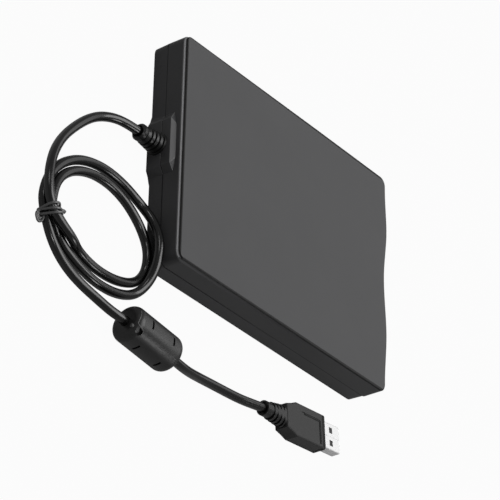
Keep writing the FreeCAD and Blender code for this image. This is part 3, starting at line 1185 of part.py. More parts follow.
def cord_coil():
    """Space taken by the two tied turns: an oval ring that rises where it leans on the drive."""
    outer = ellipse_solid(COIL_CENTRE, COIL_OUTER, 0, COIL_HIGH_TOP)
    hole = ellipse_solid(COIL_HOLE_CENTRE, COIL_HOLE, -1, COIL_HIGH_TOP + 1)
    y_low, y_mid = COIL_CENTRE[1] - COIL_OUTER[1], COIL_CENTRE[1]
    x = COIL_CENTRE[0] - 2 * COIL_OUTER[0]
    above = prism([(x, y_low - 1, COIL_HIGH_TOP), (x, y_mid, COIL_LOW_TOP),
                   (x, y_mid + 2 * COIL_OUTER[1], COIL_LOW_TOP), (x, y_mid + 2 * COIL_OUTER[1], 40),
                   (x, y_low - 1, 40)], (4 * COIL_OUTER[0], 0, 0))
    return cut(outer, [hole, above])


def twist_tie():
    """Three loops of covered wire round the strands."""
    along = V(TIE_DIRECTION[0], TIE_DIRECTION[1], 0).normalize()
    across = V(-along.y, along.x, 0)
    loops = []
    for k in range(TIE_WRAPS):
        middle = V(*TIE_POINT, 0) + along * (k - (TIE_WRAPS - 1) / 2) * 1.6 * TIE_WIRE
        loops.append(tie_loop(middle, across, TIE_HALF, TIE_WIRE, TIE_TOP))
    return fuse(loops)


def tie_loop(middle, across, half, low, high):
    """One upright rounded loop of wire."""
    radius = 3.0
    path = rounded_loop(middle, across, half, low, high, radius)
    start = path.Edges[0].valueAt(path.Edges[0].FirstParameter)
    heading = path.Edges[0].tangentAt(path.Edges[0].FirstParameter)
    profile = Part.Wire(Part.makeCircle(TIE_WIRE, start, heading))
    return path.makePipeShell([profile], True, False)


def rounded_loop(middle, across, half, low, high, radius):
    """Closed upright rectangle with rounded corners."""
    up = V(0, 0, 1)

    def at(u, w):
        return middle + across * u + up * w

    corners = [(half, low, -1, 1), (half, high, -1, -1), (-half, high, 1, -1), (-half, low, 1, 1)]
    edges, slope = [], radius * (1 - math.sqrt(0.5))
    starts, ends = [], []
    for index, (u, w, su, sw) in enumerate(corners):
        along_u, along_w = at(u + su * radius, w), at(u, w + sw * radius)
        first, last = (along_u, along_w) if index % 2 == 0 else (along_w, along_u)
        starts.append(first)
        ends.append(last)
        edges.append(Part.Arc(first, at(u + su * slope, w + sw * slope), last).toShape())
    loop = []
    for index, edge in enumerate(edges):
        loop.append(edge)
        loop.append(Part.makeLine(ends[index], starts[(index + 1) % len(edges)]))
    return Part.Wire(loop)


def ferrite_frame(shape):
    """Move a piece built along +X about the origin to the clamp's place on the cord."""
    axis = V(*FERRITE_AXIS).normalize()
    shape = shape.copy()
    heading = math.degrees(math.atan2(axis.y, axis.x))
    shape.rotate(V(0, 0, 0), V(0, 0, 1), heading)
    shape.translate(V(*FERRITE_CENTRE))
    return shape


def half_space(sign):
    """Half of the clamp's space, on one side of the split plane through its axis."""
    size = 4 * FERRITE_RADIUS
    block = box(-size, size, -size, size, 0, size)
    block.rotate(V(0, 0, 0), V(1, 0, 0), clamp_angle() + (0 if sign > 0 else 180))
    return block


def clamp_angle():
    """Turn of the split plane about the clamp's own axis."""
    return -FERRITE_SPLIT_DEG


def clamp_shell():
    """Barrel with generously rounded ends, hollow for the core, with latch windows."""
    half = FERRITE_LENGTH / 2
    barrel = rod(FERRITE_RADIUS, (-half, 0, 0), (1, 0, 0), FERRITE_LENGTH)
    barrel = barrel.makeFillet(3.2, [e for e in barrel.Edges if e.Length > 20 and e.Curve.TypeId
                                     == "Part::GeomCircle"])
    core = rod(FERRITE_RADIUS - FERRITE_WALL, (-half + 3.4, 0, 0), (1, 0, 0), FERRITE_LENGTH - 6.8)
    bore = rod(CORD_RADIUS + 0.15, (-half - 1, 0, 0), (1, 0, 0), FERRITE_LENGTH + 2)
    windows = [latch_window(x, 90 - FERRITE_SPLIT_DEG + side) for x in (-6.3, 6.9) for side in (-45, 45)]
    eye = rod(1.5, (-half + 2.6, 0, FERRITE_RADIUS - FERRITE_WALL), (0, 0, 1), FERRITE_WALL * 2)
    eye.rotate(V(0, 0, 0), V(1, 0, 0), 90 - FERRITE_SPLIT_DEG)
    return cut(barrel, [core, bore, eye] + windows)


def latch_window(x, turn):
    """Narrow slot round part of the barrel."""
    band = ring(FERRITE_RADIUS + 1, FERRITE_RADIUS - FERRITE_WALL + 0.3, (x - 0.5, 0, 0), (1, 0, 0), 1.0)
    reach = FERRITE_RADIUS + 2
    keep = prism([(x - 1, 0, 0), (x - 1, -reach / 4, reach), (x - 1, reach / 4, reach)], (2, 0, 0))
    slot = band.common(keep)
    slot.rotate(V(0, 0, 0), V(1, 0, 0), turn)
    return slot


def clamp_core():
    """Ferrite tube inside the clamp."""
    length = FERRITE_LENGTH - 7.2
    return ring(FERRITE_RADIUS - FERRITE_WALL - 0.05, CORD_RADIUS + 0.3, (-length / 2, 0, 0), (1, 0, 0),
                length)


def clamp_half(shape, sign):
    """One half of a clamp piece, still along +X about the origin."""
    return shape.common(half_space(sign))


def knuckle(radius, x0, x1):
    """Cylinder about the clamp's hinge line, which runs beside the barrel's low inner edge."""
    reach = FERRITE_RADIUS + FIT
    angle = math.radians(clamp_angle())
    return rod(radius, (x0, reach * math.cos(angle), reach * math.sin(angle)), (1, 0, 0), x1 - x0)


def clamp_base():
    """Lower half of the clamp with its two hinge knuckles and the pin between them."""
    half = clamp_half(clamp_shell(), -1)
    half = half.cut(knuckle(KNUCKLE_RADIUS + SLIP, -KNUCKLE_SPLIT, KNUCKLE_SPLIT))
    ends = [knuckle(KNUCKLE_RADIUS, -KNUCKLE_END, -KNUCKLE_SPLIT),
            knuckle(KNUCKLE_RADIUS, KNUCKLE_SPLIT, KNUCKLE_END)]
    return fuse([half, knuckle(KNUCKLE_RADIUS / 2, -KNUCKLE_END, KNUCKLE_END)] + ends)


def clamp_lid():
    """Upper half of the clamp with the middle knuckle, bored for the pin."""
    half = clamp_half(clamp_shell(), 1)
    edge, end = KNUCKLE_SPLIT - SLIP, KNUCKLE_END + FIT
    reliefs = [knuckle(KNUCKLE_RADIUS + SLIP, x0, x1) for x0, x1 in ((-end, -edge), (edge, end))]
    solid = cut(half, reliefs).fuse(knuckle(KNUCKLE_RADIUS, -edge, edge))
    return solid.cut(knuckle(KNUCKLE_RADIUS / 2 + RUNNING, -KNUCKLE_SPLIT, KNUCKLE_SPLIT))


def plug_frame(shape):
    """Move a piece built along +X from the plug's front face to its place on the table."""
    shape = shape.copy()
    shape.rotate(V(0, 0, 0), V(0, 0, 1), 90 + PLUG_AXIS_DEG)
    shape.translate(V(PLUG_FRONT[0], PLUG_FRONT[1], 0))
    return shape


def plug_core(shape):
    """Turn a piece built contacts up over, so that its contacts face the table, and put it in the plug."""
    shape = shape.copy()
    shape.rotate(V(0, 0, PLUG_THICKNESS / 2), V(1, 0, 0), 180)
    return plug_frame(shape)


def plug_body():
    """Flat overmould with bevelled long edges, shoulders and raised finger panels."""
    w, length = PLUG_WIDTH / 2, PLUG_BODY_LENGTH
    tip = length + PLUG_SHOULDER
    narrow = 5.3
    outline = [(0, -w, 0), (length, -w, 0), (length + 3.2, -w + 1.3, 0), (tip, -narrow, 0),
               (tip, narrow, 0), (length + 3.2, w - 1.3, 0), (length, w, 0), (0, w, 0)]
    solid = prism(outline, (0, 0, PLUG_THICKNESS))
    rims = [e for e in solid.Edges if e.BoundBox.ZLength < 0.01]
    solid = solid.makeFillet(0.8, rims)
    socket = box(-1, 2.2, -SHELL_WIDTH / 2 - FIT, SHELL_WIDTH / 2 + FIT, shell_z() - FIT,
                 shell_z() + SHELL_HEIGHT + FIT)
    grip = plate(2.6, length - 3.0, -w + 3.2, w - 1.2, PLUG_THICKNESS - 0.3, PLUG_THICKNESS + 1, 1.0)
    relief_end = rod(CORD_RADIUS, (tip - 1, 0, PLUG_THICKNESS / 2), (1, 0, 0), 3)
    return plug_frame(cut(solid, [socket, grip]).cut(relief_end))


def shell_z():
    """Underside of the metal shell."""
    return (PLUG_THICKNESS - SHELL_HEIGHT) / 2


def plug_relief():
    """Tapered ribbed sleeve between the overmould and the cord."""
    tip = PLUG_BODY_LENGTH + PLUG_SHOULDER
    half = PLUG_THICKNESS / 2
    rings, count = [], 4
    pitch = (PLUG_RELIEF - PLUG_COLLAR) / count
    for k in range(count):
        x = tip + k * pitch
        wide = 5.0 - 0.35 * k
        rings.append(relief_slice(x, pitch - 0.9, wide))
        rings.append(relief_slice(x + pitch - 0.9, 0.9, wide - 1.0))
    collar = relief_slice(tip + count * pitch, PLUG_COLLAR, PLUG_RELIEF_RADIUS)
    bore = rod(CORD_RADIUS + 0.5, (tip + PLUG_RELIEF - 1.0, 0, half), (1, 0, 0), 2)
    return plug_frame(fuse(rings + [collar]).cut(bore))


def relief_slice(x, length, wide):
    """One flat-oval slice of the sleeve."""
    half = PLUG_THICKNESS / 2
    tall = min(half - 0.3, wide)
    core = box(x, x + length, -(wide - tall), wide - tall, half - tall, half + tall) if wide > tall else None
    ends = [rod(tall, (x, y, half), (1, 0, 0), length) for y in {wide - tall, tall - wide}]
    return fuse([core] + ends if core else ends[:1])


def plug_shell():
    """Folded metal shell with two square latch windows on each broad face."""
    w, z0 = SHELL_WIDTH / 2, shell_z()
    outer = plate_yz(-SHELL_LENGTH, 2.2, -w, w, z0, z0 + SHELL_HEIGHT, 0.5)
    inner = plate_yz(-SHELL_LENGTH - 1, 3, -w + SHELL_WALL, w - SHELL_WALL, z0 + SHELL_WALL,
                     z0 + SHELL_HEIGHT - SHELL_WALL, SHELL_INNER_RADIUS)
    windows = [box(-7.2, -4.9, y - 1.3, y + 1.3, 0, PLUG_THICKNESS) for y in (-2.9, 2.9)]
    seam = box(-SHELL_LENGTH - 1, 0, -0.08, 0.08, z0 + SHELL_HEIGHT - SHELL_WALL / 2, PLUG_THICKNESS)
    return plug_frame(cut(outer, [inner, seam] + windows))


def plug_tongue():
    """Insulating tongue inside the shell, filling the half behind its contacts."""
    w, z0 = SHELL_WIDTH / 2 - SHELL_WALL, shell_z() + SHELL_WALL
    tongue = plate_yz(-SHELL_LENGTH + 0.4, 2.0, -w, w, z0, z0 + 1.9, SHELL_INNER_RADIUS)
    block = plate_yz(-0.5, 2.0, -w, w, z0, z0 + SHELL_HEIGHT - 2 * SHELL_WALL, SHELL_INNER_RADIUS)
    grooves = [box(-SHELL_LENGTH, 0.5, y - 0.55, y + 0.55, z0 + 1.65, z0 + 3) for y in contact_places()]
    return plug_core(cut(fuse([tongue, block]), grooves))


def contact_places():
    """Offsets of the four contacts from the plug's middle."""
    return [-3.5, -1.0, 1.0, 3.5]


def plug_contacts():
    """Four flat contacts in the tongue's grooves."""
    z0 = shell_z() + SHELL_WALL + 1.65
    return [plug_core(box(-SHELL_LENGTH + 1.6, 0.2, y - 0.5, y + 0.5, z0, z0 + 0.2))
            for y in contact_places()]


# ---------------------------------------------------------------- build
NODES = {
    "top_cover": top_cover,
    "bottom_case": bottom_case,
    "rubber_feet": rubber_feet,
    "case_screws": case_screws,
    "front_bezel": front_bezel,
    "slot_door": slot_door,
    "eject_button": eject_button,
    "led_lens": led_lens,
    "led": led,
    "chassis": chassis,
    "shield_plate": shield_plate,
    "eject_slider": eject_slider,
    "slider_springs": slider_springs,
    "disk_carrier": disk_carrier,
    "carrier_pins": carrier_pins,
    "trigger_lever": trigger_lever,
    "lever_rivet": lever_rivet,
    "motor_board": motor_board,
    "stator_coils": stator_coils,
    "spindle_bearing": spindle_bearing,
    "spindle_rotor": spindle_rotor,
    "rotor_magnet": rotor_magnet,
    "spindle_hub": spindle_hub,
    "drive_pin": drive_pin,
    "head_carriage": head_carriage,
    "arm_pin": arm_pin,
    "arm_spring": arm_spring,
    "upper_head_arm": upper_head_arm,
    "lower_head": lower_head,
    "upper_head": upper_head,
    "guide_rods": guide_rods,
    "rod_clamps": rod_clamps,
    "lead_screw": lead_screw,
    "screw_bearing": screw_bearing,
    "stepper_motor": stepper_motor,
    "control_board": control_board,
    "control_chips": control_chips,
    "crystal": crystal,
    "ribbon_connector": ribbon_connector,
    "motor_ribbon": motor_ribbon,
    "cord_header": cord_header,
    "cord_pigtail": cord_pigtail,
    "disk_sensors": disk_sensors,
    "cord_gland": cord_gland,
    "cord_lead": cord_lead,
    "cord_coil": cord_coil,
    "cord_tail": cord_tail,
    "twist_tie": twist_tie,
    "ferrite_base": lambda: ferrite_frame(clamp_base()),
    "ferrite_base_core": lambda: ferrite_frame(clamp_half(clamp_core(), -1)),
    "ferrite_lid": lambda: ferrite_frame(clamp_lid()),
    "ferrite_lid_core": lambda: ferrite_frame(clamp_half(clamp_core(), 1)),
    "plug_relief": plug_relief,
    "plug_body": plug_body,
    "plug_shell": plug_shell,
    "plug_tongue": plug_tongue,
    "plug_contacts": plug_contacts,
}


def main():
    """Build every piece, check it and write it."""
    os.makedirs("parts", exist_ok=True)
    for name, make in NODES.items():
        made = make()
        shape = Part.makeCompound(made) if isinstance(made, list) else made
        solids = shape.Solids
        if not shape.isValid() or not solids:
            raise ValueError("piece " + name + " isn't a valid solid")
        if len(solids) > 1 and not isinstance(made, list):
            raise ValueError("piece " + name + " fell into " + str(len(solids)) + " solids")
        if len(solids) == 1:
            shape = solids[0]
        shape.exportStep("parts/" + name + ".step")
        print(name, len(solids), round(shape.Volume, 1))
    for name, route in (("cord_lead", LEAD_ROUTE), ("cord_tail", TAIL_ROUTE)):
        solid, length, radii = cord_tube(route, CORD_RADIUS)
        expected = math.pi * CORD_RADIUS ** 2 * length
        print(name, "length", round(length, 1), "volume share", round(solid.Volume / expected, 4))
        print(name, "arc radii", [round(r, 1) for r in radii])


main()
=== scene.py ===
"""Looks, light and view for an external floppy disk drive with its cord, clamp and plug."""

import logging
import math
from dataclasses import dataclass, field
from enum import Enum

import bmesh
import bpy
from mathutils import Matrix, Vector


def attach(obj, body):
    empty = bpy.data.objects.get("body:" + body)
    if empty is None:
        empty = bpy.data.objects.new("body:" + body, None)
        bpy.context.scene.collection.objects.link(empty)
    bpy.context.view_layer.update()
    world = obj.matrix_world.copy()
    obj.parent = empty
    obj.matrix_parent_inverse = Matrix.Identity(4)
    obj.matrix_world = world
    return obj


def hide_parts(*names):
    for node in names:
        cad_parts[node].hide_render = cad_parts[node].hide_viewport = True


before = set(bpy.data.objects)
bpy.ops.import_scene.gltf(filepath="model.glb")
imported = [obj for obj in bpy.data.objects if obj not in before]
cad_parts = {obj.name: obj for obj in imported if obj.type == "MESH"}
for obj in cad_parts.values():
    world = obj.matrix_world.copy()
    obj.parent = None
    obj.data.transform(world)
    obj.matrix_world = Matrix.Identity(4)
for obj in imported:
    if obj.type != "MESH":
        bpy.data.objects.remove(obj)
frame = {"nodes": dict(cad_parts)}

logging.basicConfig(level=logging.INFO, format="%(message)s")
LOG = logging.getLogger("drive")

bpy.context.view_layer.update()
Point = tuple[float, float, float]
Colour = tuple[float, float, float]


def smooth_step(amount: float) -> float:
    """Ease an amount from 0 to 1 without a kink at either end."""
    held = min(1.0, max(0.0, amount))
    return held * held * (3 - 2 * held)


# ---------------------------------------------------------------- shader helpers


class Grain(Enum):
    """Surface grains that the moulded and pressed pieces have."""

    SATIN = "satin shell"
    FINE = "fine mould"
    RUBBER = "rubber"
    ROLLED = "rolled sheet"


@dataclass(frozen=True)
class GrainSize:
    """Scales and depths of one grain."""

    scale: float
    depth: float
    patch: float


GRAINS: dict[Grain, GrainSize] = {
    Grain.SATIN: GrainSize(2600.0, 0.000012, 40.0),
    Grain.FINE: GrainSize(3200.0, 0.000008, 70.0),
    Grain.RUBBER: GrainSize(1800.0, 0.00001, 90.0),
    Grain.ROLLED: GrainSize(900.0, 0.000004, 120.0),
}


# Places of the colour sockets on a Mix node, whose sockets of every kind share their names.
MIX_BELOW, MIX_ABOVE, MIX_RESULT = 6, 7, 2


@dataclass
class NodeBench:
    """Adds and joins shader nodes in one tree."""

    tree: bpy.types.NodeTree

    def add(self, kind: str, **values: object) -> bpy.types.Node:
        """Add a node.

        Args:
            kind: the node's type name.
            values: attributes of the node to set.

        Returns:
            The new node.
        """
        node = self.tree.nodes.new(kind)
        for name, value in values.items():
            setattr(node, name, value)
        return node

    def join(self, source: bpy.types.NodeSocket, target: bpy.types.NodeSocket) -> None:
        """Join an output to an input."""
        self.tree.links.new(source, target)

    def ramp(self, source: bpy.types.NodeSocket, stops: list[tuple[float, Colour]]) -> bpy.types.NodeSocket:
        """Pass a value through a colour ramp.

        Args:
            source: the value.
            stops: places and colours along the ramp.

        Returns:
            The ramp's colour.
        """
        node = self.add("ShaderNodeValToRGB")
        places = node.color_ramp.elements
        while len(places) < len(stops):
            places.new(0.5)
        for place, (where, colour) in zip(places, stops):
            place.position = where
            place.color = (*colour, 1.0)
        self.join(source, node.inputs["Fac"])
        return node.outputs["Color"]

    def combine(self, kind: str, first: object, second: object) -> bpy.types.NodeSocket:
        """Combine two values.

        Args:
            kind: the operation.
            first: a socket or a number.
            second: a socket or a number.

        Returns:
            The result.
        """
        node = self.add("ShaderNodeMath", operation=kind)
        for slot, value in zip(node.inputs, (first, second)):
            if isinstance(value, (int, float)):
                slot.default_value = value
            else:
                self.join(value, slot)
        return node.outputs[0]

    def step(self, value: bpy.types.NodeSocket, start: float, end: float) -> bpy.types.NodeSocket:
        """Turn a value into a soft step from 0 to 1.

        Args:
            value: what is measured.
            start: where the step begins.
            end: where it is full.

        Returns:
            The result.
        """
        node = self.add("ShaderNodeMapRange", interpolation_type="SMOOTHSTEP")
        node.inputs["From Min"].default_value = start
        node.inputs["From Max"].default_value = end
        self.join(value, node.inputs["Value"])
        return node.outputs["Result"]

    def blend(
        self, mask: bpy.types.NodeSocket, first: bpy.types.NodeSocket, second: Colour
    ) -> bpy.types.NodeSocket:
        """Lay a plain colour over another where a mask says so.

        Args:
            mask: how much of it shows.
            first: the colour below.
            second: the colour on top.

        Returns:
            The result.
        """
        node = self.add("ShaderNodeMix", data_type="RGBA")
        self.join(mask, node.inputs["Factor"])
        self.join(first, node.inputs[MIX_BELOW])
        node.inputs[MIX_ABOVE].default_value = (*second, 1.0)
        return node.outputs[MIX_RESULT]


FINE_DETAIL, SLOW_DETAIL = 3.0, 4.0
ROUGHNESS_SPREAD: float = 0.22
PATCH_START: float = 0.3
MOULD_PATCH_FULL: float = 0.75
METAL_PATCH_FULL: float = 0.8
BRUSHED_STRETCH: tuple[float, float, float] = (60.0, 2600.0, 2600.0)


def grain_group() -> bpy.types.NodeTree:
    """Make the group that gives a mould's grain and its slow patches.

    Returns:
        A group with Scale, Patch Scale and Depth inputs, and Patches, Roughness and Normal outputs.
    """
    group = bpy.data.node_groups.new("Mould_grain", "ShaderNodeTree")
    face = group.interface
    for name, value in (("Scale", 2600.0), ("Patch Scale", 40.0), ("Depth", 0.00001), ("Roughness", 0.4)):
        socket = face.new_socket(name, in_out="INPUT", socket_type="NodeSocketFloat")
        socket.default_value = value
    face.new_socket("Patches", in_out="OUTPUT", socket_type="NodeSocketFloat")
    face.new_socket("Roughness", in_out="OUTPUT", socket_type="NodeSocketFloat")
    face.new_socket("Normal", in_out="OUTPUT", socket_type="NodeSocketVector")
    bench = NodeBench(group)
    source = bench.add("NodeGroupInput")
    result = bench.add("NodeGroupOutput")
    place = bench.add("ShaderNodeTexCoord")
    fine = bench.add("ShaderNodeTexNoise")
    fine.inputs["Detail"].default_value = FINE_DETAIL
    bench.join(place.outputs["Object"], fine.inputs["Vector"])
    bench.join(source.outputs["Scale"], fine.inputs["Scale"])
    slow = bench.add("ShaderNodeTexNoise")
    slow.inputs["Detail"].default_value = SLOW_DETAIL
    bench.join(place.outputs["Object"], slow.inputs["Vector"])
    bench.join(source.outputs["Patch Scale"], slow.inputs["Scale"])
    bump = bench.add("ShaderNodeBump")
    bench.join(fine.outputs["Fac"], bump.inputs["Height"])
    bench.join(source.outputs["Depth"], bump.inputs["Distance"])
    spread = bench.combine("MULTIPLY", bench.combine("SUBTRACT", slow.outputs["Fac"], 0.5), ROUGHNESS_SPREAD)
    level = bench.combine("ADD", spread, source.outputs["Roughness"])
    bench.join(slow.outputs["Fac"], result.inputs["Patches"])
    bench.join(level, result.inputs["Roughness"])
    bench.join(bump.outputs["Normal"], result.inputs["Normal"])
    return group


# Tone of the painted shade along the case's rim and of its dark parting line.
RIM_SHADE_AND_PARTING_TONE: Colour = (0.008, 0.008, 0.008)
LIP_SMOOTHING: float = -0.12


@dataclass(frozen=True)
class RimLines:
    """Case bands, in metres: painted highlight on the rear lip, painted shade along the rim, dark parting
    line.
    """

    lip_foot: float = 0.01660
    lip_top: float = 0.01732
    rim_behind: float = 0.06985
    rim_aside: float = 0.05180
    parting_foot: float = 0.00822
    parting_top: float = 0.00852
    blur: float = 0.00008
    fine_blur: float = 0.00006
    edge_blur: float = 0.0001
    rearward: tuple[float, float] = (0.45, 0.6)
    upward: tuple[float, float] = (0.8, 0.9)

    def group(self) -> bpy.types.NodeTree:
        """Make the group that marks the rear lip's painted highlight, the rim's painted shade and the parting
        line.

        Returns:
            Two masks from 0 to 1: the lip's painted highlight, and the rim's painted shade with the parting
                line.
        """
        group = bpy.data.node_groups.new("Rim_light_and_shade_masks", "ShaderNodeTree")
        for name in ("Lip_highlight", "Rim_shade_and_parting"):
            group.interface.new_socket(name, in_out="OUTPUT", socket_type="NodeSocketFloat")
        bench = NodeBench(group)
        result = bench.add("NodeGroupOutput")
        place = bench.add("ShaderNodeTexCoord")
        facing = bench.add("ShaderNodeSeparateXYZ")
        bench.join(place.outputs["Normal"], facing.inputs["Vector"])
        spot = bench.add("ShaderNodeSeparateXYZ")
        bench.join(place.outputs["Object"], spot.inputs["Vector"])
        height = spot.outputs["Z"]
        above_foot = bench.step(height, self.lip_foot, self.lip_foot + self.blur)
        above_lip = bench.step(height, self.lip_top, self.lip_top + self.blur)
        lip = bench.combine("SUBTRACT", above_foot, above_lip)
        rearward = bench.step(facing.outputs["Y"], *self.rearward)
        bench.join(bench.combine("MULTIPLY", lip, rearward), result.inputs["Lip_highlight"])
        sloping = bench.combine("SUBTRACT", 1.0, bench.step(facing.outputs["Z"], *self.upward))
        behind = bench.step(spot.outputs["Y"], self.rim_behind, self.rim_behind + self.edge_blur)
        sideways = bench.combine("ABSOLUTE", spot.outputs["X"], 0.0)
        aside = bench.step(sideways, self.rim_aside, self.rim_aside + self.edge_blur)
        ring = bench.combine("MAXIMUM", sloping, bench.combine("MAXIMUM", behind, aside))
        rim = bench.combine("MULTIPLY", above_lip, ring)
        below = bench.step(height, self.parting_foot, self.parting_foot + self.fine_blur)
        above = bench.step(height, self.parting_top, self.parting_top + self.fine_blur)
        parting = bench.combine("SUBTRACT", below, above)
        bench.join(bench.combine("MAXIMUM", rim, parting), result.inputs["Rim_shade_and_parting"])
        return group


@dataclass
class Workshop:
    """Keeps the node groups that the finishes share."""

    grain: bpy.types.NodeTree = field(default_factory=grain_group)
    rim: bpy.types.NodeTree = field(default_factory=lambda: RimLines().group())


@dataclass(frozen=True)
class MouldedFinish:
    """Moulded or rubber surface with a fine grain.

    Where the lip's highlight share is set, the case's rear lip is lightened by that share as a painted
    highlight and is smoother, the rim is darkened as painted shade and the parting line is dark.
    """

    name: str
    base: Colour
    lift: Colour
    roughness: float
    grain: Grain = Grain.FINE
    specular: float = 0.5
    lip_highlight_share: float = 0.0

    def make(self, shop: Workshop) -> bpy.types.Material:
        """Build the material.

        Args:
            shop: the shared groups.

        Returns:
            The material.
        """
        material = bpy.data.materials.new(self.name)
        material.use_nodes = True
        bench = NodeBench(material.node_tree)
        shader = material.node_tree.nodes["Principled BSDF"]
        size = GRAINS[self.grain]
        grain = bench.add("ShaderNodeGroup", node_tree=shop.grain)
        grain.inputs["Scale"].default_value = size.scale
        grain.inputs["Patch Scale"].default_value = size.patch
        grain.inputs["Depth"].default_value = size.depth
        grain.inputs["Roughness"].default_value = self.roughness
        tone = bench.ramp(grain.outputs["Patches"], [(PATCH_START, self.base), (MOULD_PATCH_FULL, self.lift)])
        rough = grain.outputs["Roughness"]
        if self.lip_highlight_share:
            rim = bench.add("ShaderNodeGroup", node_tree=shop.rim)
            # painted highlight: the rear lip takes the lift tone made lighter by the share set
            bright = tuple(part * (1 + self.lip_highlight_share) for part in self.lift)
            tone = bench.blend(rim.outputs["Lip_highlight"], tone, bright)
            # painted shade along the rim, and the dark parting line
            tone = bench.blend(rim.outputs["Rim_shade_and_parting"], tone, RIM_SHADE_AND_PARTING_TONE)
            smoothed = bench.combine("MULTIPLY", rim.outputs["Lip_highlight"], LIP_SMOOTHING)
            rough = bench.combine("ADD", smoothed, rough)
        bench.join(tone, shader.inputs["Base Color"])
        bench.join(rough, shader.inputs["Roughness"])
        bench.join(grain.outputs["Normal"], shader.inputs["Normal"])
        shader.inputs["Specular IOR Level"].default_value = self.specular
        return material


@dataclass(frozen=True)
class MetalFinish:
    """Pressed, ground, drawn or plated metal."""

    name: str
    base: Colour
    dull: Colour
    roughness: float
    brushed: float = 0.0
    metallic: float = 1.0

    def make(self, shop: Workshop) -> bpy.types.Material:
        """Build the material.

        Args:
            shop: the shared groups.

        Returns:
            The material.
        """
        material = bpy.data.materials.new(self.name)
        material.use_nodes = True
        bench = NodeBench(material.node_tree)
        shader = material.node_tree.nodes["Principled BSDF"]
        shader.inputs["Metallic"].default_value = self.metallic
        grain = bench.add("ShaderNodeGroup", node_tree=shop.grain)
        size = GRAINS[Grain.ROLLED]
        grain.inputs["Scale"].default_value = size.scale
        grain.inputs["Patch Scale"].default_value = size.patch
        grain.inputs["Depth"].default_value = size.depth
        grain.inputs["Roughness"].default_value = self.roughness
        tone = bench.ramp(grain.outputs["Patches"], [(PATCH_START, self.base), (METAL_PATCH_FULL, self.dull)])
        bench.join(tone, shader.inputs["Base Color"])
        bench.join(grain.outputs["Roughness"], shader.inputs["Roughness"])
        if self.brushed:
            place = bench.add("ShaderNodeTexCoord")
            stretch = bench.add("ShaderNodeMapping")
            stretch.inputs["Scale"].default_value = BRUSHED_STRETCH
            lines = bench.add("ShaderNodeTexNoise")
            lines.inputs["Scale"].default_value = 1.0
            bump = bench.add("ShaderNodeBump")
            bump.inputs["Distance"].default_value = self.brushed
            bench.join(place.outputs["Object"], stretch.inputs["Vector"])
            bench.join(stretch.outputs["Vector"], lines.inputs["Vector"])
            bench.join(lines.outputs["Fac"], bump.inputs["Height"])
            bench.join(bump.outputs["Normal"], shader.inputs["Normal"])
        else:
            bench.join(grain.outputs["Normal"], shader.inputs["Normal"])
        return material


def dress(nodes: list[str], material: bpy.types.Material) -> None:
    """Give CAD nodes a material.

    Args:
        nodes: the nodes' names.
        material: what they are made of.
    """
    for name in nodes:
        piece = frame["nodes"][name]
        for slot in piece.material_slots:
            slot.material = material
        if not piece.material_slots:
            piece.data.materials.append(material)
    LOG.info("dressed %s in %s", ", ".join(nodes), material.name)


# ---------------------------------------------------------------- camera, light and floor


@dataclass
class View:
    """Camera beside the drive's rear corner, turned on its own axis."""

    target: Point = (0.0, -0.001, 0.0)
    azimuth: float = 216.06
    elevation: float = 31.73
    roll: float = 70.41
    distance: float = 1.3015
    lens: float = 221.68
    shift: tuple[float, float] = (-0.00895, -0.04226)

    def build(self) -> bpy.types.Object:
        """Make the camera and set it as the scene's.

        Returns:
            The camera.
        """
        around, up = math.radians(self.azimuth), math.radians(self.elevation)
        way = Vector((math.cos(up) * math.sin(around), -math.cos(up) * math.cos(around), math.sin(up)))
        lens = bpy.data.cameras.new("View")
        lens.lens = self.lens
        lens.sensor_width = 36.0
        lens.shift_x, lens.shift_y = self.shift
        lens.clip_end = 20.0
        camera = bpy.data.objects.new("View", lens)
        bpy.context.scene.collection.objects.link(camera)
        turn = (-way).to_track_quat("-Z", "Y").to_matrix()
        turn = turn @ Matrix.Rotation(math.radians(self.roll), 3, "Z")
        camera.matrix_world = Matrix.Translation(Vector(self.target) + way * self.distance) @ turn.to_4x4()
        bpy.context.scene.camera = camera
        return camera


@dataclass
class Lamp:
    """One soft rectangular lamp."""

    name: str
    place: Point
    aim: Point
    size: tuple[float, float]
    power: float

    def build(self) -> bpy.types.Object:
        """Make the lamp, aimed at its point.

        Returns:
            The lamp.
        """
        data = bpy.data.lights.new(self.name, "AREA")
        data.shape = "RECTANGLE"
        data.size, data.size_y = self.size
        data.energy = self.power
        lamp = bpy.data.objects.new(self.name, data)
        bpy.context.scene.collection.objects.link(lamp)
        lamp.location = self.place
        aim = Vector(self.aim) - Vector(self.place)
        lamp.rotation_euler = aim.to_track_quat("-Z", "Y").to_euler()
        return lamp


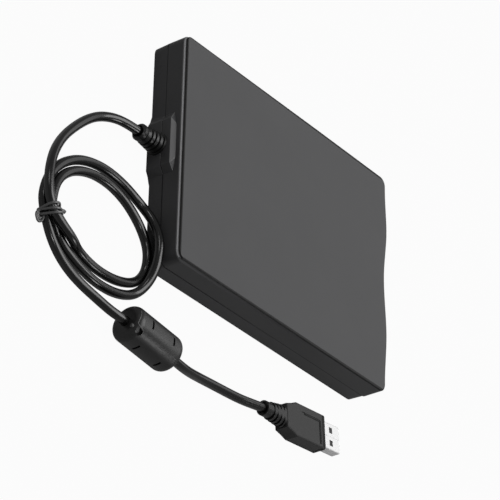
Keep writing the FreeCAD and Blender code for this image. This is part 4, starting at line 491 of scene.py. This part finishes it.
@dataclass
class Studio:
    """Pale floor, pale world and soft lamps."""

    floor_size: float = 6.0
    floor_tone: float = 0.2
    seen_share: float = 0.96
    mirrored_share: float = 0.15
    sky_light: float = 0.11
    lamps: list[Lamp] = field(
        default_factory=lambda: [
            Lamp("Overhead", (0.15, -0.25, 1.5), (0.0, 0.0, 0.0), (1.3, 1.3), 19.6),
            Lamp("Front_sheen", (0.8, -1.1, 0.85), (0.0, 0.0, 0.0), (1.3, 0.8), 2.5),
            Lamp("Rear_edge", (0.70, 0.98, 0.74), (0.0, 0.05, 0.0), (0.32, 0.32), 1.1),
            Lamp("Spark", (-0.50, 0.75, 0.85), (-0.05, 0.08, 0.0), (0.16, 0.16), 0.9),
            Lamp("Side_sheen", (-0.86, -0.58, 0.64), (-0.06, 0.07, 0.0), (0.3, 0.3), 1.8),
        ]
    )

    def floor(self) -> bpy.types.Object:
        """Make the floor, near-white where it is seen and darker as light on the object.

        Returns:
            The floor.
        """
        mesh = bpy.data.meshes.new("Floor")
        shape = bmesh.new()
        bmesh.ops.create_grid(shape, x_segments=1, y_segments=1, size=self.floor_size)
        shape.to_mesh(mesh)
        shape.free()
        plane = bpy.data.objects.new("Floor", mesh)
        bpy.context.scene.collection.objects.link(plane)
        material = bpy.data.materials.new("Pale_floor")
        material.use_nodes = True
        bench = NodeBench(material.node_tree)
        shader = material.node_tree.nodes["Principled BSDF"]
        shader.inputs["Base Color"].default_value = (*[self.floor_tone] * 3, 1.0)
        shader.inputs["Roughness"].default_value = 0.9
        shader.inputs["Specular IOR Level"].default_value = 0.1
        glow = bench.add("ShaderNodeEmission")
        glow.inputs["Strength"].default_value = 1.0
        blend = bench.add("ShaderNodeMixShader")
        ray = bench.add("ShaderNodeLightPath")
        through = bench.combine("MAXIMUM", ray.outputs["Is Camera Ray"], ray.outputs["Is Transmission Ray"])
        seen = bench.combine("MULTIPLY", through, self.seen_share)
        mirrored = bench.combine("MULTIPLY", ray.outputs["Is Glossy Ray"], self.mirrored_share)
        part = bench.combine("MAXIMUM", seen, mirrored)
        bench.join(part, blend.inputs["Fac"])
        bench.join(shader.outputs["BSDF"], blend.inputs[1])
        bench.join(glow.outputs["Emission"], blend.inputs[2])
        bench.join(blend.outputs["Shader"], material.node_tree.nodes["Material Output"].inputs["Surface"])
        mesh.materials.append(material)
        return plane

    def world(self) -> None:
        """Make the pale surroundings, white where they are seen and softer as light."""
        world = bpy.data.worlds.new("Surroundings")
        bpy.context.scene.world = world
        world.use_nodes = True
        bench = NodeBench(world.node_tree)
        sky = world.node_tree.nodes["Background"]
        sky.inputs["Color"].default_value = (1.0, 1.0, 1.0, 1.0)
        sky.inputs["Strength"].default_value = self.sky_light
        bright = bench.add("ShaderNodeBackground")
        bright.inputs["Strength"].default_value = 1.0
        blend = bench.add("ShaderNodeMixShader")
        ray = bench.add("ShaderNodeLightPath")
        through = bench.combine("MAXIMUM", ray.outputs["Is Camera Ray"], ray.outputs["Is Transmission Ray"])
        mirrored = bench.combine("MULTIPLY", ray.outputs["Is Glossy Ray"], self.mirrored_share)
        bench.join(bench.combine("MAXIMUM", through, mirrored), blend.inputs["Fac"])
        bench.join(sky.outputs["Background"], blend.inputs[1])
        bench.join(bright.outputs["Background"], blend.inputs[2])
        bench.join(blend.outputs["Shader"], world.node_tree.nodes["World Output"].inputs["Surface"])

    def build(self) -> None:
        """Make the floor, the world and the lamps."""
        self.floor()
        self.world()
        for lamp in self.lamps:
            lamp.build()
        bpy.context.scene.view_settings.view_transform = "Standard"


# ---------------------------------------------------------------- shapes


SHARP_ANGLE: float = math.radians(35)
FLAT_ANGLE: float = math.radians(1)


def place_mesh(name: str, shape: bmesh.types.BMesh, material: bpy.types.Material) -> bpy.types.Object:
    """Turn a finished mesh into a piece.

    Args:
        name: the piece's name.
        shape: its mesh, freed here.
        material: what it is made of.

    Returns:
        The piece.
    """
    bmesh.ops.recalc_face_normals(shape, faces=shape.faces[:])
    for face in shape.faces:
        face.smooth = True
    mesh = bpy.data.meshes.new(name)
    shape.to_mesh(mesh)
    shape.free()
    mesh.materials.append(material)
    mesh.set_sharp_from_angle(angle=SHARP_ANGLE)
    piece = bpy.data.objects.new(name, mesh)
    bpy.context.scene.collection.objects.link(piece)
    LOG.info("%s: %d faces", name, len(mesh.polygons))
    return piece


def hull_of(points: list[Point], rounding: float, segments: int = 3) -> bmesh.types.BMesh:
    """Make a closed convex block with rounded edges.

    Args:
        points: its corners.
        rounding: how far the edges are rounded.
        segments: faces across each rounded edge.

    Returns:
        The mesh.
    """
    shape = bmesh.new()
    for point in points:
        shape.verts.new(point)
    bmesh.ops.convex_hull(shape, input=shape.verts[:])
    bmesh.ops.dissolve_limit(shape, angle_limit=FLAT_ANGLE, verts=shape.verts[:], edges=shape.edges[:])
    bmesh.ops.bevel(
        shape,
        geom=shape.edges[:],
        offset=rounding,
        segments=segments,
        profile=0.5,
        affect="EDGES",
        material=-1,
        clamp_overlap=True,
    )
    return shape


def round_wire(
    name: str,
    points: list[Point],
    radius: float,
    material: bpy.types.Material,
    closed: bool = False,
    steps: int = 8,
    facets: int = 4,
) -> bpy.types.Object:
    """Make a bent wire or cord.

    Args:
        name: the piece's name.
        points: its control points.
        radius: its radius.
        material: its covering.
        closed: whether it runs round into itself.
        steps: how finely it bends, as a curve's resolution.
        facets: how round it is, as a curve's bevel resolution.

    Returns:
        The piece.
    """
    data = bpy.data.curves.new(name, "CURVE")
    data.dimensions = "3D"
    data.resolution_u = steps
    data.bevel_depth = radius
    data.bevel_resolution = facets
    data.use_fill_caps = True
    line = data.splines.new("NURBS")
    line.points.add(len(points) - 1)
    for slot, point in zip(line.points, points):
        slot.co = (*point, 1.0)
    line.order_u = 3
    line.use_cyclic_u = closed
    line.use_endpoint_u = not closed
    data.materials.append(material)
    piece = bpy.data.objects.new(name, data)
    bpy.context.scene.collection.objects.link(piece)
    LOG.info("%s: bent round %d points", name, len(points))
    return piece


# ---------------------------------------------------------------- cord


@dataclass(frozen=True)
class Lean:
    """How one turn of the cord meets the drive's rear wall and climbs it."""

    ease: float
    climb: float
    wall: float = 0.07355
    free_after: float = 8.0

    def held(self, y: float) -> float:
        """Hold a place back from the wall, easing into the contact.

        Args:
            y: where the cord's middle would lie on a free table.

        Returns:
            Where it lies beside the wall.
        """
        past = (y - self.wall) / self.ease
        if past > self.free_after:
            return y
        return self.wall + self.ease * math.log1p(math.exp(past))


@dataclass(frozen=True)
class Turn:
    """One loose turn of the tied cord, lying on the table and climbing the drive's rear wall.

    Lengths are in metres and angles in degrees. Where the turn begins, it is drawn in by the share in gather
    and raised by drop, which fades over the angle in settle.
    """

    centre: tuple[float, float]
    reach: tuple[float, float]
    sweep: tuple[float, float]
    points: int
    slant: tuple[float, float]
    gather: float
    drop: float
    settle: float
    lean: Lean
    gathered_over: float = 55.0

    def route(self, radius: float) -> list[Point]:
        """Work out the turn's control points.

        Args:
            radius: the cord's radius.

        Returns:
            The points, in the cord's order.
        """
        places = []
        first, last = self.sweep
        for step in range(self.points):
            angle = first + (last - first) * step / (self.points - 1)
            across, along = math.cos(math.radians(angle)), math.sin(math.radians(angle))
            drawn = 1 - self.gather * (1 - smooth_step((angle - first) / self.gathered_over))
            slant = self.slant[0] if along > 0 else self.slant[1]
            x = self.centre[0] + self.reach[0] * across * drawn - slant * along * along
            y = self.centre[1] + self.reach[1] * along * drawn
            z = radius + self.drop * (1 - smooth_step((angle - first) / self.settle))
            held = self.lean.held(y)
            places.append((x, held, z + (held - y) * self.lean.climb))
        return places


@dataclass
class Cord:
    """USB cord from the gland, through its tied turns, to the plug."""

    diameter: float = 0.004
    length: float = 0.591
    lead: tuple[Point, ...] = (
        (0.0020, 0.0848, 0.0064),
        (0.0023, 0.0910, 0.0061),
        (0.0026, 0.0980, 0.0045),
        (0.0006, 0.1052, 0.0027),
        (-0.0040, 0.1120, 0.0021),
        (-0.0114, 0.1196, 0.0021),
        (-0.0203, 0.1272, 0.0027),
        (-0.0306, 0.1336, 0.0044),
        (-0.0404, 0.1372, 0.0060),
        (-0.0496, 0.1374, 0.0063),
        (-0.0562, 0.1350, 0.0064),
        (-0.0603, 0.1306, 0.0064),
        (-0.0650, 0.1211, 0.0060),
    )
    inner: Turn = Turn(
        centre=(-0.0475, 0.1004),
        reach=(0.0210, 0.0297),
        sweep=(150.7, 450.0),
        points=16,
        slant=(0.0005, 0.0028),
        gather=0.02,
        drop=0.0007,
        settle=33.0,
        lean=Lean(ease=0.0004, climb=0.77),
    )
    passing: tuple[Point, ...] = ((-0.0547, 0.1306, 0.00205), (-0.05945, 0.12825, 0.00205))
    outer: Turn = Turn(
        centre=(-0.04774, 0.09978),
        reach=(0.02664, 0.03613),
        sweep=(133.8, 446.0),
        points=16,
        slant=(0.0032, 0.0),
        gather=0.09,
        drop=0.0,
        settle=32.0,
        lean=Lean(ease=0.0026, climb=0.84),
    )
    tail: tuple[Point, ...] = (
        (-0.0558, 0.1347, 0.00205),
        (-0.0610, 0.1324, 0.00205),
        (-0.0666, 0.1294, 0.00205),
        (-0.0720, 0.1244, 0.00205),
        (-0.0761, 0.1176, 0.00205),
        (-0.0791, 0.1102, 0.0026),
        (-0.0823, 0.1034, 0.0044),
        (-0.0855, 0.0978, 0.0065),
        (-0.0870, 0.0928, 0.00795),
        (-0.0877, 0.0870, 0.00795),
        (-0.0903, 0.0654, 0.00795),
        (-0.0910, 0.0596, 0.00795),
        (-0.0910, 0.0533, 0.0069),
        (-0.0898, 0.0458, 0.0050),
        (-0.0880, 0.0374, 0.0032),
        (-0.0866, 0.0276, 0.0022),
        (-0.0859, 0.0172, 0.0021),
        (-0.0854, 0.0090, 0.0023),
        (-0.0848, 0.0022, 0.0030),
        (-0.08392, -0.0048, 0.0035),
    )

    def route(self) -> list[Point]:
        """Put the cord's control points in order.

        Returns:
            The points, from the gland to the plug.
        """
        radius = self.diameter / 2
        points = list(self.lead)
        points += self.inner.route(radius)
        points += self.passing
        points += self.outer.route(radius)
        points += self.tail
        return points

    def build(self, material: bpy.types.Material) -> bpy.types.Object:
        """Make the cord in place of its three plain lengths.

        Args:
            material: the cord's jacket.

        Returns:
            The cord.
        """
        cord = round_wire("Cord", self.route(), self.diameter / 2, material, steps=10, facets=5)
        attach(cord, "housing")
        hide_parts("cord_lead", "cord_coil", "cord_tail")
        return cord

    def declare(self) -> None:
        """Log the cord's length.
        """
        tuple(self.lead[0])
        LOG.info("cord declared at %.3f m", self.length)


# ---------------------------------------------------------------- moulded details


@dataclass(frozen=True)
class CableBoss:
    """Rear-wall bulge round the gland: a flat face, sloping ends, a sloping top lightened as painted
    highlight.
    """

    middle: float = 0.002
    wall: float = 0.0715
    face: float = 0.07353
    face_half: float = 0.0106
    foot_half: float = 0.01405
    shoulder_half: float = 0.0078
    base: float = 0.0006
    joint: tuple[float, float] = (0.00829, 0.00851)
    face_top: float = 0.0131
    side_top: float = 0.0133
    top: float = 0.01452
    chamfer: float = 0.0005
    sunk: float = 0.0005
    draft: float = 0.0002
    rounding: float = 0.00022
    highlight_facing: tuple[float, float] = (0.4, 0.45)

    def level(self, half: float, y: float, z: float) -> list[Point]:
        """Give the two corners that lie at one height, left and right."""
        return [(self.middle - half, y, z), (self.middle + half, y, z)]

    def lower(self) -> list[Point]:
        """Give the corners of the half on the bottom case.

        Returns:
            The corners, in pairs.
        """
        corners = self.level(self.face_half, self.face, self.joint[0])
        corners += self.level(self.face_half, self.face, self.base + self.chamfer)
        corners += self.level(self.face_half, self.face - self.chamfer, self.base)
        for y in (self.wall, self.wall - self.sunk):
            corners += self.level(self.foot_half, y, self.joint[0])
            corners += self.level(self.foot_half, y - self.draft, self.base)
        return corners

    def upper(self) -> list[Point]:
        """Give the corners of the half on the top cover.

        Returns:
            The corners, in pairs.
        """
        corners = self.level(self.face_half, self.face, self.joint[1])
        corners += self.level(self.face_half, self.face, self.face_top)
        for y in (self.wall, self.wall - self.sunk):
            corners += self.level(self.foot_half, y, self.joint[1])
            corners += self.level(self.foot_half, y, self.side_top)
            corners += self.level(self.shoulder_half, y, self.top)
        return corners

    def build(self, material: bpy.types.Material, boss_highlight: bpy.types.Material) -> list[bpy.types.Object]:
        """Make both halves.

        Args:
            material: the case's plastic.
            boss_highlight: the lighter plastic of the sloping top, a painted highlight.

        Returns:
            The pieces.
        """
        pieces = []
        backward, upward = self.highlight_facing
        for name, corners in (("Cable_boss_lower", self.lower()), ("Cable_boss_upper", self.upper())):
            piece = place_mesh(name, hull_of(corners, self.rounding), material)
            piece.data.materials.append(boss_highlight)
            # faces that face up and back take the lighter plastic, a painted highlight
            for face in piece.data.polygons:
                if face.normal.z > upward and face.normal.y > backward:
                    face.material_index = 1
            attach(piece, "housing")
            pieces.append(piece)
        return pieces


@dataclass(frozen=True)
class TieFrame:
    """Upright plane across the bundle of strands, where the wire tie is wound."""

    middle: tuple[float, float] = (-0.0575, 0.1330)
    along: tuple[float, float] = (-0.8601, -0.5101)

    def at(self, forward: float, across: float, up: float) -> Point:
        """Give a place by its distances in millimetres.

        Args:
            forward: how far along the bundle.
            across: how far across it, towards the coil's middle.
            up: how far above the table.

        Returns:
            The place in metres.
        """
        x = self.middle[0] + (self.along[0] * forward - self.along[1] * across) / 1000
        y = self.middle[1] + (self.along[1] * forward + self.along[0] * across) / 1000
        return (x, y, up / 1000)


@dataclass(frozen=True)
class WireTie:
    """Plastic-covered wire wound three times round the strands, with a folded end and a twisted end."""

    frame: TieFrame = TieFrame()
    radius: float = 0.00052
    section: tuple[tuple[float, float, float], ...] = (
        (-3.9, 0.9, 0.0),
        (-3.75, 3.6, 0.12),
        (-3.35, 6.6, 0.28),
        (-2.4, 8.9, 0.45),
        (0.2, 9.2, 0.62),
        (2.3, 7.3, 0.80),
        (4.5, 5.0, 0.95),
        (6.2, 3.0, 1.0),
        (6.0, 0.6, 0.8),
        (2.6, 0.55, 0.5),
        (-1.6, 0.55, 0.2),
    )
    turns: tuple[tuple[float, float, float, float, float], ...] = (
        (-1.9, 3.9, -0.3, 0.0, 0.0),
        (-0.2, 2.8, 0.3, 0.1, 0.0),
        (-1.8, 2.0, -1.8, 0.05, 0.4),
    )
    folded: tuple[tuple[float, float, float], ...] = (
        (-1.6, -3.7, 2.6),
        (-1.5, -4.8, 1.7),
        (-0.6, -5.5, 1.2),
        (1.3, -5.5, 1.0),
        (2.4, -5.2, 1.0),
        (2.7, -4.2, 1.3),
        (2.2, -3.5, 2.3),
        (0.9, -3.5, 2.9),
    )
    inner_fold: tuple[tuple[float, float, float], ...] = (
        (-0.9, -3.9, 1.5),
        (-0.2, -4.7, 1.2),
        (0.9, -4.7, 1.0),
        (1.6, -4.4, 1.2),
        (1.3, -3.7, 1.6),
    )
    fold_swell: float = 1.35
    bow_quickened: float = 1.1
    lifted_above: float = 3.0
    tucked_from: float = 1.5
    tucked_over: float = 4.0
    twist_starts: tuple[tuple[float, float], ...] = ((0.0, 0.0), (0.45, math.pi))
    twist_foot: tuple[float, float, float] = (0.9, 0.4, 9.0)
    twist_first: tuple[float, float, float] = (1.1, 0.9, 9.15)
    twist_pitch: tuple[float, float, float] = (0.2, 0.36, -0.08)
    twist_points: int = 5
    twist_angle: float = 1.5
    twist_reach: float = 0.35
    twist_shrink: float = 0.9

    def turn(self, start: float, run: float, bow: float, lift: float, tuck: float) -> list[Point]:
        """Work out one turn of the wire.

        Args:
            start: where it begins along the bundle, in millimetres.
            run: how far it runs forward by its far side.
            bow: how far its middle swings forward.
            lift: how far it stands off over the bundle.
            tuck: how far its far side is drawn in.

        Returns:
            Its control points.
        """
        places = []
        for across, up, share in self.section:
            forward = start + run * share + bow * math.sin(math.pi * min(1.0, share * self.bow_quickened))
            raised = lift if up > self.lifted_above else 0.0
            drawn = tuck * max(0.0, (across - self.tucked_from) / self.tucked_over)
            places.append(self.frame.at(forward, across - drawn, up + raised))
        return places

    def twisted(self, shift: float, phase: float) -> list[Point]:
        """Work out one wire of the twisted end.

        Args:
            shift: how far its start stands along the bundle, in millimetres.
            phase: where round the other wire it begins.

        Returns:
            Its control points.
        """
        forward, across, up = self.twist_foot
        places = [self.frame.at(forward + shift, across, up)]
        for step in range(self.twist_points):
            angle = phase + step * self.twist_angle
            forward, across, up = (
                first + pitch * step for first, pitch in zip(self.twist_first, self.twist_pitch)
            )
            forward += self.twist_reach * math.cos(angle)
            up += self.twist_reach * math.sin(angle)
            places.append(self.frame.at(forward, across, up))
        return places

    def build(self, material: bpy.types.Material) -> list[bpy.types.Object]:
        """Make the turns and both ends.

        Args:
            material: the covering.

        Returns:
            The pieces.
        """
        at = self.frame.at
        pieces = [
            round_wire(f"Tie_turn_{number}", self.turn(*turn), self.radius, material, closed=True)
            for number, turn in enumerate(self.turns, 1)
        ]
        folded = [at(*place) for place in self.folded]
        pieces.append(round_wire("Tie_folded_end", folded, self.radius, material))
        inside = [at(*place) for place in self.inner_fold]
        pieces.append(round_wire("Tie_inner_fold", inside, self.radius * self.fold_swell, material))
        for number, (shift, phase) in enumerate(self.twist_starts, 1):
            twist = self.twisted(shift, phase)
            pieces.append(round_wire(f"Tie_twist_{number}", twist, self.radius * self.twist_shrink, material))
        for piece in pieces:
            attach(piece, "housing")
        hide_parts("twist_tie")
        return pieces


@dataclass(frozen=True)
class ClampTrim:
    """Raised seam and latch stud on the clamp lid's end, in a lighter plastic as painted highlight."""

    seam: tuple[Point, ...] = (
        (-0.08409, 0.08855, 0.01448),
        (-0.08573, 0.08893, 0.01496),
        (-0.08722, 0.08930, 0.01499),
        (-0.08861, 0.08970, 0.01464),
        (-0.08988, 0.08999, 0.01409),
        (-0.09082, 0.08937, 0.01448),
        (-0.09154, 0.08838, 0.01471),
        (-0.09212, 0.08733, 0.01455),
    )
    seam_radius: float = 0.0002
    stud: Point = (-0.09062, 0.0909, 0.01195)
    stud_profile: tuple[tuple[float, float], ...] = (
        (0.0, -0.0007),
        (0.00085, -0.0007),
        (0.00085, 0.0002),
        (0.0006, 0.0005),
        (0.0, 0.0006),
    )
    stud_steps: int = 24

    def build(self, material: bpy.types.Material) -> list[bpy.types.Object]:
        """Make the seam and the stud.

        Args:
            material: the lighter plastic that paints the seam's and stud's highlight.

        Returns:
            The pieces.
        """
        seam = round_wire("Clamp_seam", list(self.seam), self.seam_radius, material)
        shape = bmesh.new()
        verts = [shape.verts.new((radius, 0.0, height)) for radius, height in self.stud_profile]
        edges = [shape.edges.new(pair) for pair in zip(verts, verts[1:])]
        bmesh.ops.spin(
            shape,
            geom=verts + edges,
            cent=(0, 0, 0),
            axis=(0, 0, 1),
            angle=2 * math.pi,
            steps=self.stud_steps,
            use_merge=True,
        )
        bmesh.ops.remove_doubles(shape, verts=shape.verts[:], dist=1e-6)
        turn = Matrix.Rotation(math.radians(-90), 4, "X")
        place = Matrix.Translation(Vector(self.stud)) @ turn
        bmesh.ops.transform(shape, matrix=place, verts=shape.verts[:])
        stud = place_mesh("Clamp_stud", shape, material)
        for piece in (seam, stud):
            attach(piece, "clamp_lid")
        return [seam, stud]


@dataclass(frozen=True)
class PlugTrim:
    """Painted shade on the plug's overmould: a dark collar round its front, a dark strip in its finger
    groove.
    """

    front: tuple[float, float] = (-0.0802, -0.0436)
    turn: float = 95.5
    half: float = 0.0077
    thickness: float = 0.0070
    fillet: float = 0.0008
    ahead: float = 0.00004
    depth: float = 0.0016
    strip: float = 0.0002
    proud: float = 0.00006
    wall: float = 0.0003
    corner: float = 0.0003
    panel: tuple[tuple[float, float], ...] = (
        (0.0138, -0.00447),
        (0.0027, -0.00447),
        (0.0027, 0.0062),
        (0.0033, 0.0062),
        (0.0033, -0.0037),
        (0.0138, -0.0037),
    )
    panel_sunk: float = 0.0003

    def at(self, along: float, side: float, up: float) -> Point:
        """Give a place by its distances in metres.

        Args:
            along: how far back from the overmould's front.
            side: how far to its side.
            up: how far above the table.

        Returns:
            The place.
        """
        heading = math.radians(self.turn)
        x = self.front[0] + along * math.cos(heading) - side * math.sin(heading)
        y = self.front[1] + along * math.sin(heading) + side * math.cos(heading)
        return (x, y, up)

    def collar(self) -> bmesh.types.BMesh:
        """Make the collar of painted shade round the front of the overmould, open under it.

        Returns:
            The mesh.
        """
        wide, high = self.half + self.proud, self.thickness + self.proud
        outer = [(wide, self.fillet), (wide, high - self.fillet)]
        outer += [(wide - self.corner, high - self.corner), (wide - self.fillet, high)]
        inner = [(side - self.wall, min(up, high - self.wall)) for side, up in outer]
        ring = outer + [(-side, up) for side, up in reversed(outer)]
        ring += [(-side, up) for side, up in inner] + [(side, up) for side, up in reversed(inner)]
        shape = bmesh.new()
        verts = [shape.verts.new(self.at(-self.ahead, side, up)) for side, up in ring]
        face = shape.faces.new(verts)
        back = Vector(self.at(self.depth, 0, 0)) - Vector(self.at(-self.ahead, 0, 0))
        added = bmesh.ops.extrude_face_region(shape, geom=[face])["geom"]
        moved = [item for item in added if isinstance(item, bmesh.types.BMVert)]
        bmesh.ops.translate(shape, vec=back, verts=moved)
        return shape

    def groove(self) -> bmesh.types.BMesh:
        """Make the strip of painted shade along the far and front edges of the finger panel.

        Returns:
            The mesh.
        """
        shape = bmesh.new()
        foot = self.thickness - self.panel_sunk
        verts = [shape.verts.new(self.at(along, side, foot)) for along, side in self.panel]
        face = shape.faces.new(verts)
        added = bmesh.ops.extrude_face_region(shape, geom=[face])["geom"]
        moved = [item for item in added if isinstance(item, bmesh.types.BMVert)]
        bmesh.ops.translate(shape, vec=(0, 0, self.strip), verts=moved)
        return shape

    def build(self, material: bpy.types.Material) -> list[bpy.types.Object]:
        """Make both pieces.

        Args:
            material: the painted shade.

        Returns:
            The pieces.
        """
        pieces = []
        for name, shape in (("Plug_collar_shade", self.collar()), ("Plug_groove_shade", self.groove())):
            piece = place_mesh(name, shape, material)
            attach(piece, "housing")
            pieces.append(piece)
        return pieces


# ---------------------------------------------------------------- finishes of the nodes


FINISHES: list[tuple[object, list[str]]] = [
    (
        MouldedFinish(
            "Housing_plastic",
            (0.068, 0.068, 0.070),
            (0.076, 0.076, 0.078),
            0.36,
            Grain.SATIN,
            specular=0.16,
            # share by which the rear lip is lightened as a painted highlight
            lip_highlight_share=3.4,
        ),
        ["top_cover", "bottom_case"],
    ),
    (
        MouldedFinish("Bezel_plastic", (0.018, 0.018, 0.019), (0.024, 0.024, 0.025), 0.38, Grain.FINE, 0.5),
        ["front_bezel", "slot_door", "eject_button"],
    ),
    (
        MouldedFinish("Foot_rubber", (0.012, 0.012, 0.012), (0.02, 0.02, 0.02), 0.7, Grain.RUBBER, 0.3),
        ["rubber_feet"],
    ),
    (MetalFinish("Blackened_steel", (0.10, 0.10, 0.105), (0.16, 0.16, 0.165), 0.35), ["case_screws"]),
    (
        MouldedFinish("Light_pipe", (0.10, 0.42, 0.12), (0.14, 0.50, 0.16), 0.2, Grain.FINE, 0.5),
        ["led_lens", "led"],
    ),
    (
        MetalFinish("Plated_sheet", (0.55, 0.56, 0.57), (0.42, 0.43, 0.44), 0.32, brushed=0.00001),
        ["chassis", "shield_plate", "disk_carrier", "eject_slider", "trigger_lever", "lever_rivet"],
    ),
    (
        MetalFinish("Ground_steel", (0.62, 0.62, 0.63), (0.5, 0.5, 0.51), 0.2),
        [
            "carrier_pins",
            "spindle_hub",
            "drive_pin",
            "arm_pin",
            "guide_rods",
            "lead_screw",
            "stepper_motor",
            "spindle_rotor",
            "crystal",
        ],
    ),
    (MetalFinish("Spring_wire", (0.5, 0.5, 0.5), (0.4, 0.4, 0.4), 0.3), ["slider_springs", "arm_spring"]),
    (MetalFinish("Bronze", (0.46, 0.28, 0.12), (0.36, 0.2, 0.09), 0.4), ["spindle_bearing", "screw_bearing"]),
    (
        MouldedFinish("Bonded_magnet", (0.012, 0.012, 0.013), (0.02, 0.02, 0.021), 0.5, Grain.FINE, 0.5),
        ["rotor_magnet", "ferrite_base_core", "ferrite_lid_core"],
    ),
    (MetalFinish("Copper_winding", (0.48, 0.16, 0.06), (0.36, 0.11, 0.05), 0.35), ["stator_coils"]),
    (
        MouldedFinish("Circuit_board", (0.006, 0.05, 0.016), (0.01, 0.08, 0.025), 0.3, Grain.FINE, 0.5),
        ["motor_board", "control_board"],
    ),
    (
        MouldedFinish("Component_black", (0.008, 0.008, 0.008), (0.014, 0.014, 0.014), 0.5, Grain.FINE, 0.5),
        ["control_chips", "disk_sensors", "rod_clamps"],
    ),
    (
        MouldedFinish("White_nylon", (0.66, 0.64, 0.58), (0.74, 0.72, 0.66), 0.45, Grain.FINE, 0.4),
        ["ribbon_connector", "cord_header", "head_carriage"],
    ),
    (
        MouldedFinish("Amber_film", (0.34, 0.15, 0.03), (0.42, 0.2, 0.05), 0.25, Grain.FINE, 0.5),
        ["motor_ribbon"],
    ),
    (
        MouldedFinish("Head_ceramic", (0.03, 0.03, 0.032), (0.045, 0.045, 0.048), 0.12, Grain.FINE, 0.6),
        ["lower_head", "upper_head"],
    ),
    (MetalFinish("Pressed_aluminium", (0.62, 0.63, 0.64), (0.5, 0.5, 0.51), 0.38), ["upper_head_arm"]),
    (
        MouldedFinish("Clamp_plastic", (0.005, 0.005, 0.005), (0.008, 0.008, 0.008), 0.42, Grain.FINE, 0.6),
        ["ferrite_base", "ferrite_lid"],
    ),
    (
        MouldedFinish("Plug_plastic", (0.034, 0.034, 0.034), (0.042, 0.042, 0.042), 0.4, Grain.FINE, 0.2),
        ["plug_body"],
    ),
    (MetalFinish("Plug_plating", (0.93,) * 3, (0.88,) * 3, 0.28, metallic=0.4), ["plug_shell"]),
    (
        MouldedFinish("Tongue_plastic", (0.012, 0.012, 0.012), (0.02, 0.02, 0.02), 0.4, Grain.FINE, 0.5),
        ["plug_tongue"],
    ),
    (MetalFinish("Gold_plate", (0.75, 0.5, 0.16), (0.66, 0.42, 0.12), 0.25), ["plug_contacts"]),
]


JACKET = MouldedFinish("Cord_jacket", (0.004,) * 3, (0.006,) * 3, 0.2, Grain.RUBBER, 0.6)
GLAND = MouldedFinish("Gland_rubber", (0.006,) * 3, (0.009,) * 3, 0.36, Grain.RUBBER, 0.5)
# lighter plastic of the cable boss's sloping top: a painted highlight
BOSS_HIGHLIGHT = MouldedFinish("Boss_highlight_plastic", (0.15, 0.15, 0.152), (0.17, 0.17, 0.172), 0.3, Grain.SATIN, 0.3)
# lighter plastic of the clamp's seam and stud: a painted highlight
SEAM_HIGHLIGHT = MouldedFinish("Clamp_seam_highlight", (0.08,) * 3, (0.1,) * 3, 0.3, Grain.FINE, 0.5)
SHADOW = MouldedFinish("Plug_shadow", (0.006,) * 3, (0.009,) * 3, 0.45, Grain.FINE, 0.2)
COVERING = MouldedFinish("Tie_jacket", (0.09,) * 3, (0.12,) * 3, 0.32, Grain.RUBBER, 0.8)


def main() -> None:
    """Build the view, the cord, the details and the finishes, and log the cord's length."""
    shop = Workshop()
    View().build()
    jacket = JACKET.make(shop)
    cord = Cord()
    run = cord.build(jacket)
    dress(["cord_pigtail"], jacket)
    dress(["cord_gland", "plug_relief"], GLAND.make(shop))
    made = {}
    for finish, nodes in FINISHES:
        made[finish.name] = finish.make(shop)
        dress(nodes, made[finish.name])
    details = CableBoss().build(made["Housing_plastic"], BOSS_HIGHLIGHT.make(shop))
    details += ClampTrim().build(SEAM_HIGHLIGHT.make(shop))
    details += PlugTrim().build(SHADOW.make(shop))
    tie = WireTie().build(COVERING.make(shop))
    for piece in [run, *details, *tie]:
        LOG.info("built %s", piece.name)
    cord.declare()
    Studio().build()


if __name__ == "__main__":
    main()
